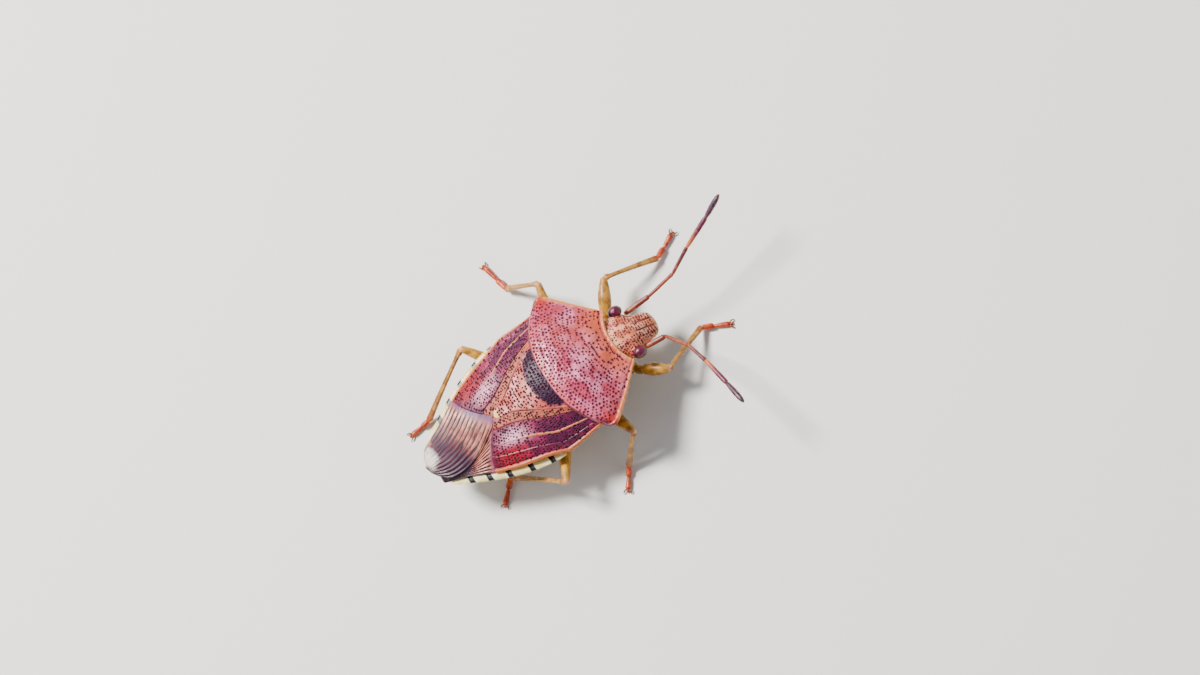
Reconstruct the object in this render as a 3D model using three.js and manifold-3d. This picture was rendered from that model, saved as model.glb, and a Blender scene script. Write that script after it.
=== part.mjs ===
// A shield bug standing with its feelers forward, as a still life-size model.
// Millimetres, +Z up. The head looks along -Y and the bug's left side is +X.
// Inside the bug group y = 0 is the line through its shoulders and z = 0 the floor.
import * as THREE from "three";
import { mergeVertices } from "three/addons/utils/BufferGeometryUtils.js";
import Module from "manifold-3d";

const wasm = await Module();
wasm.setup();

// Driving dimensions of the body
const GAP = 0.06; // clear space between neighbouring pieces
const EDGE = 0.26; // thickness of the back's shells at their free side edge
const TAIL_Y = 5.88; // tip of the wing membranes
const COLLAR_Y = -1.42; // front edge of the pronotum on the midline
const PRONOTUM_REAR_Y = 1.06; // its rear edge on the midline
const SHOULDER_X = 2.43; // half the width over the shoulders
const SCUTELLUM_TIP_Y = 3.1;
const WAIST_Y = 1.62; // the thorax ends and the abdomen begins here
const ABDOMEN_END_Y = 5.5;
const RIM_Y = [1.98, 5.3]; // the banded rim of the abdomen shows from here to here
const VEIN = 0.05; // height of a wing vein above the skin beside it

const MATERIALS = {
  pronotum: [0xb8705e, 0.42],
  scutellum: [0xc08a6a, 0.42],
  wing: [0x8f3f3c, 0.42],
  membrane: [0x6f5048, 0.3],
  rim: [0xe6dcae, 0.45],
  head: [0xc98f66, 0.42],
  eye: [0x6a2f45, 0.2],
  feeler: [0x7a4630, 0.38],
  belly: [0xb9a05a, 0.45],
  leg: [0xa08a3c, 0.35],
  shin: [0xa5673a, 0.35],
  foot: [0x9a4a2c, 0.4],
};

// A smooth curve through [position, value] pairs, flat beyond both ends
function profile(pairs) {
  const slope = (i) => {
    const before = pairs[Math.max(i - 1, 0)];
    const after = pairs[Math.min(i + 1, pairs.length - 1)];
    return (after[1] - before[1]) / (after[0] - before[0]);
  };
  return (at) => {
    if (at <= pairs[0][0]) return pairs[0][1];
    if (at >= pairs[pairs.length - 1][0]) return pairs[pairs.length - 1][1];
    const i = pairs.findIndex((pair) => pair[0] > at) - 1;
    const step = pairs[i + 1][0] - pairs[i][0];
    const t = (at - pairs[i][0]) / step;
    const s = t * t * (3 - 2 * t);
    const rise = t * (1 - t) * (1 - t) * slope(i) - t * t * (1 - t) * slope(i + 1);
    return pairs[i][1] * (1 - s) + pairs[i + 1][1] * s + rise * step;
  };
}

const mix = (a, b, t) => a + (b - a) * t;

// Half width of wings and abdomen, seen from above, along the body
const halfWidth = profile([
  [0.0, 2.2], [0.6, 2.14], [1.3, 2.17], [1.75, 2.19], [2.3, 2.15], [3.0, 2.0],
  [3.73, 1.74], [4.3, 1.47], [4.8, 1.2], [5.2, 0.98], [5.5, 0.76], [5.74, 0.48],
  [TAIL_Y, 0.14],
]);
// Height of the back on the midline, behind the pronotum
const backHeight = profile([
  [0.0, 2.9], [0.6, 2.95], [1.0, 2.94], [1.5, 2.88], [2.0, 2.77], [2.5, 2.62],
  [3.1, 2.42], [3.6, 2.28], [4.3, 2.13], [5.0, 1.97], [TAIL_Y, 1.78],
]);
// Height of the back's side edge
const edgeHeight = profile([
  [-1.4, 2.02], [-0.8, 2.12], [-0.2, 2.28], [0.2, 2.28], [0.6, 2.18], [1.0, 2.08],
  [1.6, 1.98], [2.3, 1.92], [3.0, 1.88], [4.0, 1.82], [5.0, 1.74], [TAIL_Y, 1.68],
]);
const BACK_CROWN = 2.2; // exponent of the back's cross-section

// The back's surface behind the pronotum
function backTop(x, y) {
  const across = Math.min(Math.abs(x) / halfWidth(y), 1);
  return mix(edgeHeight(y), backHeight(y), 1 - across ** BACK_CROWN);
}

// Thorax and abdomen under the shells: half width, upper ridge and lower ridge
const bodyHalf = profile([
  [-1.4, 0.78], [-0.9, 1.2], [-0.4, 1.56], [0.0, 1.74], [0.5, 1.84], [1.0, 1.96],
  [1.6, 2.1], [2.3, 2.07], [3.0, 1.92], [3.73, 1.65], [4.3, 1.37], [4.8, 1.08],
  [5.2, 0.8], [ABDOMEN_END_Y, 0.5],
]);
const bodyRidge = profile([
  [-1.4, 1.72], [-0.9, 1.96], [-0.4, 2.22], [0.0, 2.36], [0.6, 2.45], [1.0, 2.43],
  [1.5, 2.34], [2.0, 2.22], [2.5, 2.07], [3.1, 1.88], [3.6, 1.78], [4.3, 1.68],
  [5.0, 1.56], [ABDOMEN_END_Y, 1.5],
]);
const bellyRidge = profile([
  [-1.4, 1.15], [-0.9, 0.97], [0.0, 0.86], [1.0, 0.8], [1.9, 0.74], [2.8, 0.72],
  [3.8, 0.84], [4.8, 1.05], [5.2, 1.16], [ABDOMEN_END_Y, 1.26],
]);
const BODY_EDGE = 0.16; // thickness of thorax and abdomen at their side edge
const BELLY_CROWN = 1.9;

function bodyTop(x, y) {
  const across = Math.min(Math.abs(x) / bodyHalf(y), 1);
  const side = edgeHeight(y) - EDGE - GAP;
  return mix(side, bodyRidge(y), 1 - across ** BACK_CROWN);
}
function bodyUnder(x, y) {
  const across = Math.min(Math.abs(x) / bodyHalf(y), 1);
  const side = edgeHeight(y) - EDGE - GAP - BODY_EDGE;
  return mix(side, bellyRidge(y), 1 - across ** BELLY_CROWN);
}
const shellUnder = (x, y) => bodyTop(x, y) + GAP;

// A closed body between a top and a bottom grid of points, rows by columns of cells
function slab(rows, columns, top, bottom) {
  const points = [];
  for (const side of [top, bottom])
    for (let r = 0; r <= rows; r++)
      for (let c = 0; c <= columns; c++) points.push(...side(c / columns, r / rows));
  const wide = columns + 1;
  const under = wide * (rows + 1);
  const faces = [];
  const quad = (a, b, c, d) => faces.push(a, b, c, a, c, d);
  for (let r = 0; r < rows; r++)
    for (let c = 0; c < columns; c++) {
      const a = r * wide + c;
      quad(a, a + 1, a + wide + 1, a + wide);
      const b = under + a;
      faces.push(b, b + wide + 1, b + 1, b, b + wide, b + wide + 1);
    }
  for (let c = 0; c < columns; c++) {
    const last = rows * wide + c;
    quad(c, under + c, under + c + 1, c + 1);
    quad(last, last + 1, under + last + 1, under + last);
  }
  for (let r = 0; r < rows; r++) {
    const a = r * wide;
    const b = a + columns;
    quad(a, a + wide, under + a + wide, under + a);
    quad(b, under + b, under + b + wide, b + wide);
  }
  return outward(points, faces);
}

// A closed geometry with its faces outward, whichever way the loops ran
function outward(points, faces) {
  const [a, b, c] = [0, 1, 2].map(() => new THREE.Vector3());
  let volume = 0;
  for (let i = 0; i < faces.length; i += 3) {
    a.fromArray(points, 3 * faces[i]);
    b.fromArray(points, 3 * faces[i + 1]);
    c.fromArray(points, 3 * faces[i + 2]);
    volume += a.dot(b.cross(c));
  }
  if (volume < 0)
    for (let i = 0; i < faces.length; i += 3)
      [faces[i + 1], faces[i + 2]] = [faces[i + 2], faces[i + 1]];
  const made = new THREE.BufferGeometry();
  made.setAttribute("position", new THREE.Float32BufferAttribute(points, 3));
  made.setIndex(faces);
  return made;
}

// A plate over plan(u, v) -> [x, y], between two height functions of x, y, u and v
function plate(rows, columns, plan, topHeight, bottomHeight) {
  const at = (height) => (u, v) => {
    const [x, y] = plan(u, v);
    return [x, y, height(x, y, u, v)];
  };
  return slab(rows, columns, at(topHeight), at(bottomHeight));
}

const vec = (p) => new THREE.Vector3(...p);
const direction = (from, to) => vec(to).sub(vec(from)).normalize();

const MITRE_REACH = 0.8; // how far, in radii, a bent joint's outer corner may stick out

// The plane where two limb pieces meet, halfway round their bend
function mitre(before, joint, after) {
  const normal = direction(before, joint).add(direction(joint, after)).normalize();
  return { point: vec(joint), normal };
}
// A flat end square to the limb
function square(from, to, at) {
  return { point: vec(at), normal: direction(from, to) };
}

// A straight limb piece with round sections of the radii given at shares of its length.
// Its ends lie on two planes, set back from them by half the gap; sole flattens it below.
function limb(from, to, sections, startPlane, endPlane, sole = -1, grown = 0) {
  const sides = 8;
  const along = direction(from, to);
  const length = vec(to).distanceTo(vec(from));
  const aside = along.clone().cross(new THREE.Vector3(0, 0, 1)).normalize();
  const upward = aside.clone().cross(along).normalize();
  const points = [];
  sections.forEach(([share, radius], i) => {
    const centre = vec(from).addScaledVector(along, share * length);
    const plane = i === 0 ? startPlane : i === sections.length - 1 ? endPlane : null;
    for (let s = 0; s < sides; s++) {
      const angle = (2 * Math.PI * (s + 0.5)) / sides;
      const p = centre.clone();
      p.addScaledVector(aside, Math.cos(angle) * (radius + grown));
      p.addScaledVector(upward, Math.sin(angle) * (radius + grown));
      if (plane) {
        const wanted = (i === 0 ? 1 : -1) * (GAP / 2 - grown);
        const off = p.clone().sub(plane.point).dot(plane.normal);
        const move = (wanted - off) / along.dot(plane.normal);
        const furthest = MITRE_REACH * (radius + grown);
        p.addScaledVector(along, i === 0 ? Math.max(move, -furthest) : Math.min(move, furthest));
      }
      p.z = Math.max(p.z, sole);
      points.push(p.x, p.y, p.z);
    }
  });
  return closeRings(points, sections.length, sides);
}

// Rings of points joined into one closed skin, its two ends shut by fans
function closeRings(points, rings, sides) {
  const faces = [];
  for (let r = 0; r + 1 < rings; r++)
    for (let s = 0; s < sides; s++) {
      const a = r * sides + s;
      const b = r * sides + ((s + 1) % sides);
      faces.push(a, b, b + sides, a, b + sides, a + sides);
    }
  const last = (rings - 1) * sides;
  for (let s = 1; s + 1 < sides; s++) {
    faces.push(0, s + 1, s);
    faces.push(last, last + s, last + s + 1);
  }
  return outward(points, faces);
}

// Geometry to solid and back, for cuts and joins
function solid(geometry) {
  const bare = geometry.clone();
  bare.deleteAttribute("normal");
  bare.deleteAttribute("uv");
  const merged = mergeVertices(bare, 1e-4);
  return new wasm.Manifold(
    new wasm.Mesh({
      numProp: 3,
      vertProperties: merged.getAttribute("position").array,
      triVerts: new Uint32Array(merged.index.array),
    }),
  );
}
function geometryOf(body) {
  const pieces = body.decompose();
  const largest = pieces.reduce((a, b) => (b.volume() > a.volume() ? b : a));
  const mesh = largest.getMesh();
  const made = new THREE.BufferGeometry();
  made.setAttribute("position", new THREE.BufferAttribute(mesh.vertProperties, 3));
  made.setIndex(new THREE.BufferAttribute(mesh.triVerts, 1));
  return made;
}

function ellipsoid(centre, radii, around = 10, down = 7) {
  const made = new THREE.SphereGeometry(1, around, down);
  made.scale(...radii);
  made.translate(...centre);
  return made;
}

const bug = new THREE.Group();
function add(name, geometry, material) {
  const [color, roughness] = MATERIALS[material];
  const made = new THREE.MeshStandardMaterial({ color, roughness, metalness: 0 });
  const mesh = new THREE.Mesh(geometry, made);
  mesh.name = name;
  bug.add(mesh);
}
const SIDES = [["left", 1], ["right", -1]];

// Pronotum: the collar is narrow, the shoulders stick out, the rear edge bows back
const pronotumHalf = profile([
  [0, 0.93], [0.2, 1.32], [0.4, 1.72], [0.6, 2.08], [0.78, 2.34], [0.9, SHOULDER_X],
  [1, 2.36],
]);
const pronotumSideY = profile([
  [0, -1.5], [0.2, -1.17], [0.4, -0.8], [0.6, -0.46], [0.78, -0.2], [0.9, -0.02],
  [1, 0.2],
]);
const pronotumMidHeight = profile([
  [0, 2.2], [0.17, 2.46], [0.37, 2.76], [0.57, 2.98], [0.77, 3.08], [1, 3.03],
]);
const pronotumSideHeight = profile([
  [0, 2.1], [0.4, 2.22], [0.7, 2.38], [0.9, 2.44], [1, 2.42],
]);
const REAR_BOW = 2.4;
function pronotumPlan(u, v) {
  const across = 2 * u - 1;
  const bow = 1 - Math.abs(across) ** REAR_BOW;
  const midY = mix(COLLAR_Y, PRONOTUM_REAR_Y, v);
  return [across * pronotumHalf(v), mix(pronotumSideY(v), midY, bow)];
}
function pronotumTop(x, y, u, v) {
  const across = Math.abs(2 * u - 1);
  return mix(pronotumSideHeight(v), pronotumMidHeight(v), 1 - across ** BACK_CROWN);
}
add("pronotum", plate(12, 16, pronotumPlan, pronotumTop, shellUnder), "pronotum");

// What lies behind the pronotum starts on this line
function behindPronotum(x) {
  const across = Math.min(Math.abs(x) / pronotumHalf(1), 1);
  const rear = mix(pronotumSideY(1), PRONOTUM_REAR_Y, 1 - across ** REAR_BOW);
  return rear + GAP;
}

// Scutellum: a long triangle that ends in a narrow rounded tip
const SCUTELLUM_SIDE_Y = 0.9;
const scutellumHalf = profile([
  [0.9, 1.33], [1.35, 1.07], [1.8, 0.78], [2.2, 0.48], [2.55, 0.27], [2.95, 0.15],
  [SCUTELLUM_TIP_Y, 0.05],
]);
function scutellumPlan(u, v) {
  const across = 2 * u - 1;
  const side = mix(SCUTELLUM_SIDE_Y, SCUTELLUM_TIP_Y, v);
  const x = across * scutellumHalf(side);
  const start = behindPronotum(across * scutellumHalf(SCUTELLUM_SIDE_Y));
  return [x, mix(start, SCUTELLUM_TIP_Y, v)];
}
const SCUTELLUM_RISE = 0.05;
const scutellumTop = (x, y) => backTop(x, y) + SCUTELLUM_RISE;
add("scutellum", plate(11, 8, scutellumPlan, scutellumTop, shellUnder), "scutellum");

// Fore wings: the leathery part, its rear edge running out to the rear corner
const bandWidth = profile([
  [1.75, 0], [2.1, 0.12], [2.6, 0.2], [4.8, 0.2], [5.3, 0.12], [5.6, 0],
]);
const wingMargin = (y) => halfWidth(y) - bandWidth(y);
const leatherRear = profile([[0.1, 3.18], [0.43, 3.5], [0.92, 3.85], [1.38, 4.05]]);
const WING_FRONT = [wingMargin(0.46), 0.46]; // where the side margin meets the pronotum
const LEATHER_CORNER_Y = leatherRear(1.37); // rear end of the side margin
const SCUTELLUM_CORNER_X = scutellumHalf(SCUTELLUM_SIDE_Y) + GAP;
function wingPlan(u, v) {
  const innerY = mix(SCUTELLUM_SIDE_Y, SCUTELLUM_TIP_Y + GAP, v);
  const outerY = mix(WING_FRONT[1], LEATHER_CORNER_Y, v);
  const x = mix(scutellumHalf(innerY) + GAP, wingMargin(outerY) - GAP / 2, u);
  const frontX = mix(SCUTELLUM_CORNER_X, WING_FRONT[0], u);
  const frontBend = behindPronotum(frontX) - mix(SCUTELLUM_SIDE_Y, WING_FRONT[1], u);
  const rearBend = leatherRear(x) - mix(SCUTELLUM_TIP_Y + GAP, LEATHER_CORNER_Y, u);
  return [x, mix(innerY, outerY, u) + frontBend * (1 - v) ** 2 + rearBend * v ** 3];
}
const WING_COLUMNS = 12;
const WING_VEINS = [3, 7, 10]; // the columns that carry a vein, from the scutellum outward
function wingTop(x, y, u, v) {
  const onVein = WING_VEINS.includes(Math.round(u * WING_COLUMNS));
  return backTop(x, y) + (onVein ? VEIN * Math.sin(Math.PI * mix(0.1, 0.8, v)) : 0);
}
const mirrored = (plan, side) => (u, v) => {
  const [x, y] = plan(u, v);
  return [side * x, y];
};
for (const [name, side] of SIDES)
  add(
    `wing_${name}`,
    plate(12, WING_COLUMNS, mirrored(wingPlan, side), wingTop, shellUnder),
    "wing",
  );

// Wing membranes: the left one lies over the right one and crosses the midline
const crossing = profile([
  [3.2, 0.04], [3.6, 0.3], [4.2, 0.62], [4.8, 0.74], [5.3, 0.68], [5.6, 0.46], [5.8, 0.16],
]);
const MEMBRANE_DROP = 0.05; // the lower membrane lies this far beneath the upper one
const MEMBRANE_COLUMNS = { upper: 15, lower: 6 };
const CROSSING_Y = [3.2, 5.8]; // the upper membrane's free edge, from front to rear
const UPPER_START_Y = SCUTELLUM_TIP_Y + 0.16;
const LOWER_START_Y = UPPER_START_Y + 0.08;
const LOWER_END_Y = 5.62;
const MIN_WIDTH = 0.1; // of the lower membrane where it runs out
const behindLeather = (x) => leatherRear(Math.abs(x)) + GAP;
const MEMBRANE_CORNER_Y = LEATHER_CORNER_Y + GAP;
const MEMBRANE_CORNER_X = wingMargin(MEMBRANE_CORNER_Y) - GAP / 2;
function membranePlan(innerX, startY, endY, endOuterY) {
  return (u, v) => {
    const outerY = mix(MEMBRANE_CORNER_Y, endOuterY, v);
    const inner = innerX(v);
    const outer = Math.max(wingMargin(outerY) - GAP / 2, inner + MIN_WIDTH);
    const startX = mix(innerX(0), MEMBRANE_CORNER_X, u);
    const bend = behindLeather(startX) - mix(startY, MEMBRANE_CORNER_Y, u);
    const y = mix(mix(startY, endY, v), outerY, u) + bend * (1 - v) ** 2;
    return [mix(inner, outer, u), y];
  };
}
const LOWER_SHARE = 0.93; // the lower membrane's inner edge shows this far along the crossing
const upperPlan = membranePlan(
  (v) => -crossing(mix(...CROSSING_Y, v)),
  UPPER_START_Y,
  CROSSING_Y[1],
  TAIL_Y,
);
const lowerPlan = membranePlan(
  (v) => crossing(mix(...CROSSING_Y, LOWER_SHARE * v)) + GAP,
  LOWER_START_Y,
  mix(LOWER_START_Y, CROSSING_Y[1], LOWER_SHARE),
  LOWER_END_Y,
);
const membraneTop = (columns, drop) => (x, y, u, v) => {
  const onVein = Math.round(u * columns) % 3 === 1;
  return backTop(x, y) - drop + (onVein ? VEIN * Math.sqrt(1 - v) : 0);
};
const { upper, lower } = MEMBRANE_COLUMNS;
add(
  "membrane_left",
  plate(10, upper, upperPlan, membraneTop(upper, 0), shellUnder),
  "membrane",
);
add(
  "membrane_right",
  plate(10, lower, mirrored(lowerPlan, -1), membraneTop(lower, MEMBRANE_DROP), shellUnder),
  "membrane",
);

// The banded rim of the abdomen, outside the wings
function rimPlan(u, v) {
  const y = mix(...RIM_Y, v);
  return [mix(wingMargin(y) + GAP / 2, halfWidth(y), u), y];
}
for (const [name, side] of SIDES)
  add(`rim_${name}`, plate(14, 2, mirrored(rimPlan, side), backTop, shellUnder), "rim");

// Limbs, from the body outward. The joints of a leg: root, hip, knee, ankle and toe
const ROOT_REACH = 0.5; // share of the hip's distance from the midline where the root lies
const KNEES = {
  front_left: { hip: [0.85, -1.2, 0.82], knee: [2.15, -1.99, 1.15], ankle: [2.02, -3.66] },
  front_right: { hip: [-0.8, -1.25, 0.82], knee: [-1.55, -2.2, 1.25], ankle: [-0.68, -3.66] },
  middle_left: { hip: [0.95, 0.36, 0.74], knee: [3.08, -0.19, 1.55], ankle: [4.0, 0.9] },
  middle_right: { hip: [-0.95, 0.32, 0.74], knee: [-2.69, -0.25, 1.5], ankle: [-3.12, 0.6] },
  rear_left: { hip: [0.9, 1.6, 0.68], knee: [2.73, 2.95, 1.6], ankle: [1.83, 5.2] },
  rear_right: { hip: [-0.95, 1.56, 0.68], knee: [-2.83, 2.36, 1.6], ankle: [-1.24, 3.95] },
};
const TOES = {
  front_left: [2.46, -4.44],
  front_right: [-1.08, -4.47],
  middle_left: [5.06, 1.14],
  middle_right: [-3.7, 1.03],
  rear_left: [1.78, 5.92],
  rear_right: [-1.85, 4.56],
};
const ANKLE_Z = 0.3;
const TOE_Z = 0.1;
const ROOT_SHIFT = { front: [0.22, 0.08], middle: [0.06, 0.06], rear: [-0.3, 0.06] }; // y, z
const LEGS = {};
for (const [leg, { hip, knee, ankle }] of Object.entries(KNEES)) {
  const [dy, dz] = ROOT_SHIFT[leg.split("_")[0]];
  const root = [hip[0] * ROOT_REACH, hip[1] + dy, hip[2] + dz];
  LEGS[leg] = [root, hip, knee, [...ankle, ANKLE_Z], [...TOES[leg], TOE_Z]];
}
const COXA = [[0, 0.2], [0.4, 0.29], [1, 0.24]];
const FEMUR = [[0, 0.22], [0.25, 0.26], [0.6, 0.27], [0.88, 0.22], [1, 0.21]];
const TIBIA = [[0, 0.2], [0.15, 0.22], [0.6, 0.22], [0.88, 0.24], [1, 0.22]];
const TARSUS = [[0, 0.18], [0.3, 0.19], [0.45, 0.16], [0.58, 0.21], [0.9, 0.18], [1, 0.1]];
const CLAW = [[0, 0.08], [0.6, 0.06], [1, 0.025]];
const CLAW_LENGTH = 0.22;
const CLAW_SPREAD = 0.45; // radians either side of the toe's direction

// The joints of each feeler, from its root under the head to its tip
const FEELERS = {
  left: [
    [0.66, -2.16, 1.56], [0.66, -2.95, 1.65], [0.75, -3.97, 1.9], [1.11, -4.81, 2.2],
    [1.47, -5.84, 2.5], [1.77, -6.58, 2.74],
  ],
  right: [
    [-0.64, -2.14, 1.56], [-0.72, -2.7, 1.65], [-1.49, -3.18, 2.0], [-2.3, -3.4, 2.2],
    [-3.35, -3.6, 2.4], [-4.22, -3.74, 2.6],
  ],
};
const FEELER_SECTIONS = [
  [[0, 0.2], [0.2, 0.23], [0.8, 0.22], [1, 0.2]],
  [[0, 0.2], [0.5, 0.21], [1, 0.2]],
  [[0, 0.2], [0.5, 0.22], [1, 0.2]],
  [[0, 0.2], [0.4, 0.23], [1, 0.2]],
  [[0, 0.2], [0.3, 0.24], [0.7, 0.21], [0.92, 0.13], [1, 0.05]],
];

function chain(points, sectionLists, names, materials, soles, grown = 0) {
  return names.map((name, i) => {
    const [from, to] = [points[i], points[i + 1]];
    const start = i === 0 ? square(from, to, from) : mitre(points[i - 1], from, to);
    const last = i === names.length - 1;
    const end = last ? square(from, to, to) : mitre(from, to, points[i + 2]);
    const made = limb(from, to, sectionLists[i], start, end, soles[i], grown);
    return { name, material: materials[i], made };
  });
}
const legChain = (leg, grown = 0) =>
  chain(
    LEGS[leg],
    [COXA, FEMUR, TIBIA, TARSUS],
    ["coxa", "femur", "tibia", "foot"].map((piece) => `${piece}_${leg}`),
    ["belly", "leg", "shin", "foot"],
    [-1, -1, -1, 0],
    grown,
  );

// The two claws of a foot, spread from its toe
function claws(ankle, toe) {
  const flat = direction([ankle[0], ankle[1], 0], [toe[0], toe[1], 0]);
  return [-1, 1].map((side) => {
    const way = flat.clone().applyAxisAngle(new THREE.Vector3(0, 0, 1), side * CLAW_SPREAD);
    const from = vec(toe).addScaledVector(flat, -0.1);
    const tip = from.clone().addScaledVector(way, CLAW_LENGTH + 0.1);
    tip.z = 0.05;
    const [a, b] = [from.toArray(), tip.toArray()];
    return limb(a, b, CLAW, square(a, b, a), square(a, b, b), 0.004);
  });
}

const bodyCutters = [];
for (const [leg, points] of Object.entries(LEGS)) {
  for (const piece of legChain(leg)) {
    let made = piece.made;
    if (piece.name.startsWith("foot")) {
      const [ankle, toe] = points.slice(3);
      const joined = claws(ankle, toe).reduce((body, claw) => body.add(solid(claw)), solid(made));
      made = geometryOf(joined);
    }
    add(piece.name, made, piece.material);
  }
  for (const piece of legChain(leg, GAP).slice(0, 2)) bodyCutters.push(solid(piece.made));
}

const headCutters = [];
for (const [side, points] of Object.entries(FEELERS)) {
  const names = [1, 2, 3, 4, 5].map((number) => `feeler_${side}_${number}`);
  const all = names.map(() => "feeler");
  const floors = names.map(() => -1);
  for (const piece of chain(points, FEELER_SECTIONS, names, all, floors))
    add(piece.name, piece.made, piece.material);
  const [base] = chain(points, FEELER_SECTIONS, names, all, floors, GAP);
  headCutters.push(solid(base.made));
}

// Thorax and abdomen, hollowed where legs press into them
const bodyPlan = (start, end) => (u, v) => {
  const y = mix(start, end, v);
  return [(2 * u - 1) * bodyHalf(y), y];
};
const carve = (geometry, cutters) =>
  geometryOf(cutters.reduce((body, cutter) => body.subtract(cutter), solid(geometry)));
const thorax = plate(9, 12, bodyPlan(COLLAR_Y, WAIST_Y - GAP / 2), bodyTop, bodyUnder);
add("thorax", carve(thorax, bodyCutters), "belly");
const abdomen = plate(11, 12, bodyPlan(WAIST_Y + GAP / 2, ABDOMEN_END_Y), bodyTop, bodyUnder);
add("abdomen", carve(abdomen, bodyCutters), "belly");

// Head: rounded in section, bent down toward its blunt tip
const HEAD_BACK_Y = -1.5;
const HEAD_TIP_Y = -2.66;
const headHalf = profile([
  [HEAD_TIP_Y, 0.3], [-2.56, 0.45], [-2.4, 0.52], [-2.1, 0.58], [-1.8, 0.68],
  [HEAD_BACK_Y, 0.7],
]);
const headTop = profile([
  [HEAD_TIP_Y, 1.42], [-2.56, 1.5], [-2.3, 1.74], [-2.0, 1.98], [-1.75, 2.12],
  [HEAD_BACK_Y, 2.16],
]);
const headUnder = profile([
  [HEAD_TIP_Y, 1.24], [-2.5, 1.14], [-2.1, 1.1], [HEAD_BACK_Y, 1.22],
]);
const HEAD_ROWS = 8;
const HEAD_SIDES = 14;
const HEAD_ROUNDNESS = 0.8;
function headGeometry() {
  const points = [];
  for (let r = 0; r <= HEAD_ROWS; r++) {
    const y = mix(HEAD_TIP_Y, HEAD_BACK_Y, (r / HEAD_ROWS) ** 1.3);
    const middle = (headTop(y) + headUnder(y)) / 2;
    const tall = (headTop(y) - headUnder(y)) / 2;
    for (let s = 0; s < HEAD_SIDES; s++) {
      const angle = (2 * Math.PI * s) / HEAD_SIDES;
      const [c, z] = [Math.cos(angle), Math.sin(angle)];
      const x = Math.sign(c) * Math.abs(c) ** HEAD_ROUNDNESS * headHalf(y);
      points.push(x, y, middle + Math.sign(z) * Math.abs(z) ** HEAD_ROUNDNESS * tall);
    }
  }
  return closeRings(points, HEAD_ROWS + 1, HEAD_SIDES);
}
const EYE = [0.8, -1.79, 1.93];
const EYE_RADII = [0.21, 0.22, 0.23];
for (const [, side] of SIDES) {
  const grown = EYE_RADII.map((radius) => radius + GAP);
  headCutters.push(solid(ellipsoid([side * EYE[0], EYE[1], EYE[2]], grown)));
}
add("head", carve(headGeometry(), headCutters), "head");
for (const [name, side] of SIDES)
  add(`eye_${name}`, ellipsoid([side * EYE[0], EYE[1], EYE[2]], EYE_RADII), "eye");

// Under the body: the folded beak, the keel between the legs and the belly's spine
const UNDERSIDE = {
  beak: {
    ends: [[0, -2.42, 0.96], [0, -0.86, 0.78]],
    sections: [[0, 0.1], [0.12, 0.14], [0.6, 0.12], [0.93, 0.09], [1, 0.05]],
  },
  keel: {
    ends: [[0, -0.74, 0.72], [0, 0.8, 0.62]],
    sections: [[0, 0.05], [0.3, 0.1], [0.8, 0.11], [1, 0.07]],
  },
  spine: {
    ends: [[0, 1.9, 0.6], [0, 0.9, 0.6]],
    sections: [[0, 0.08], [0.5, 0.07], [1, 0.03]],
  },
};
for (const [name, { ends, sections }] of Object.entries(UNDERSIDE)) {
  const [start, end] = ends.map((at) => square(...ends, at));
  add(name, limb(...ends, sections, start, end), "belly");
}

// Set the middle of the footprint at the origin and the feet on z = 0
const box = new THREE.Box3().setFromObject(bug);
const centre = box.getCenter(new THREE.Vector3());
for (const mesh of bug.children)
  mesh.geometry.translate(-centre.x, -centre.y, -box.min.z);
bug.name = "shield_bug";

export default bug;
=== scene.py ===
# %% [markdown]
# # A shield bug, life size
# This lesson dresses the solids of a shield bug, eight and a half millimetres long, with the
# finish of the living insect. The solids set every place and size. Blender adds the fine form:
# pitted wing cases, veined membranes, jointed legs with hairs, and the colours.

import math

import bpy
import numpy as np
from mathutils import Matrix, Vector
from mathutils.kdtree import KDTree


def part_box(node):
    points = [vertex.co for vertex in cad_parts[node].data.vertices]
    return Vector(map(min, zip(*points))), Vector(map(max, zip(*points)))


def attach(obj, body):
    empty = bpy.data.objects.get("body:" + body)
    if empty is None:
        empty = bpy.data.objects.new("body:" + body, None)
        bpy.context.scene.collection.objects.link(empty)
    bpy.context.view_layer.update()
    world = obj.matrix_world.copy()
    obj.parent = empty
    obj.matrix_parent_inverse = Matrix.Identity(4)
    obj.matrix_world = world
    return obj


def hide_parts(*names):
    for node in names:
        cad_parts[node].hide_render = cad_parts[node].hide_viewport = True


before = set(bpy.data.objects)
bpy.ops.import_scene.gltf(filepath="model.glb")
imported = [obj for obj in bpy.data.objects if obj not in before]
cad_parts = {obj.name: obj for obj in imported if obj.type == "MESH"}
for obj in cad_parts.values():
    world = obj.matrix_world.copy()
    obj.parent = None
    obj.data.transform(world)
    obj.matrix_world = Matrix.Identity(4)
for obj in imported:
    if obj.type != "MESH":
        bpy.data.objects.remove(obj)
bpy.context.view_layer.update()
bpy.ops.object.select_all(action="DESELECT")
print("nodes in the frame:", len(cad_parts))

# %% [markdown]
# An insect is easiest to describe in its own terms: millimetres, y = 0 on the line through the
# shoulders, the head toward -Y and its left side toward +X. The frame is centred on the whole
# model with its legs and feelers. The step between the two could be typed in as a number. It is
# measured on the pronotum instead, which is symmetric and ends at a known line, so it stays right
# if a leg is moved.

# %% The bug's own axes
MM = 0.001
PRONOTUM_REAR_Y = 1.06
low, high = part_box("pronotum")
MIDLINE = (low[0] + high[0]) / 2
SHOULDER_LINE = high[1] - PRONOTUM_REAR_Y * MM
ORIGIN = np.array([MIDLINE, SHOULDER_LINE, 0.0])


def in_frame(points):
    """Points in the bug's millimetres as metres in the frame."""
    return np.asarray(points, dtype=float) * MM + ORIGIN


print("shoulder line at", np.round(ORIGIN, 5))

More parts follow.
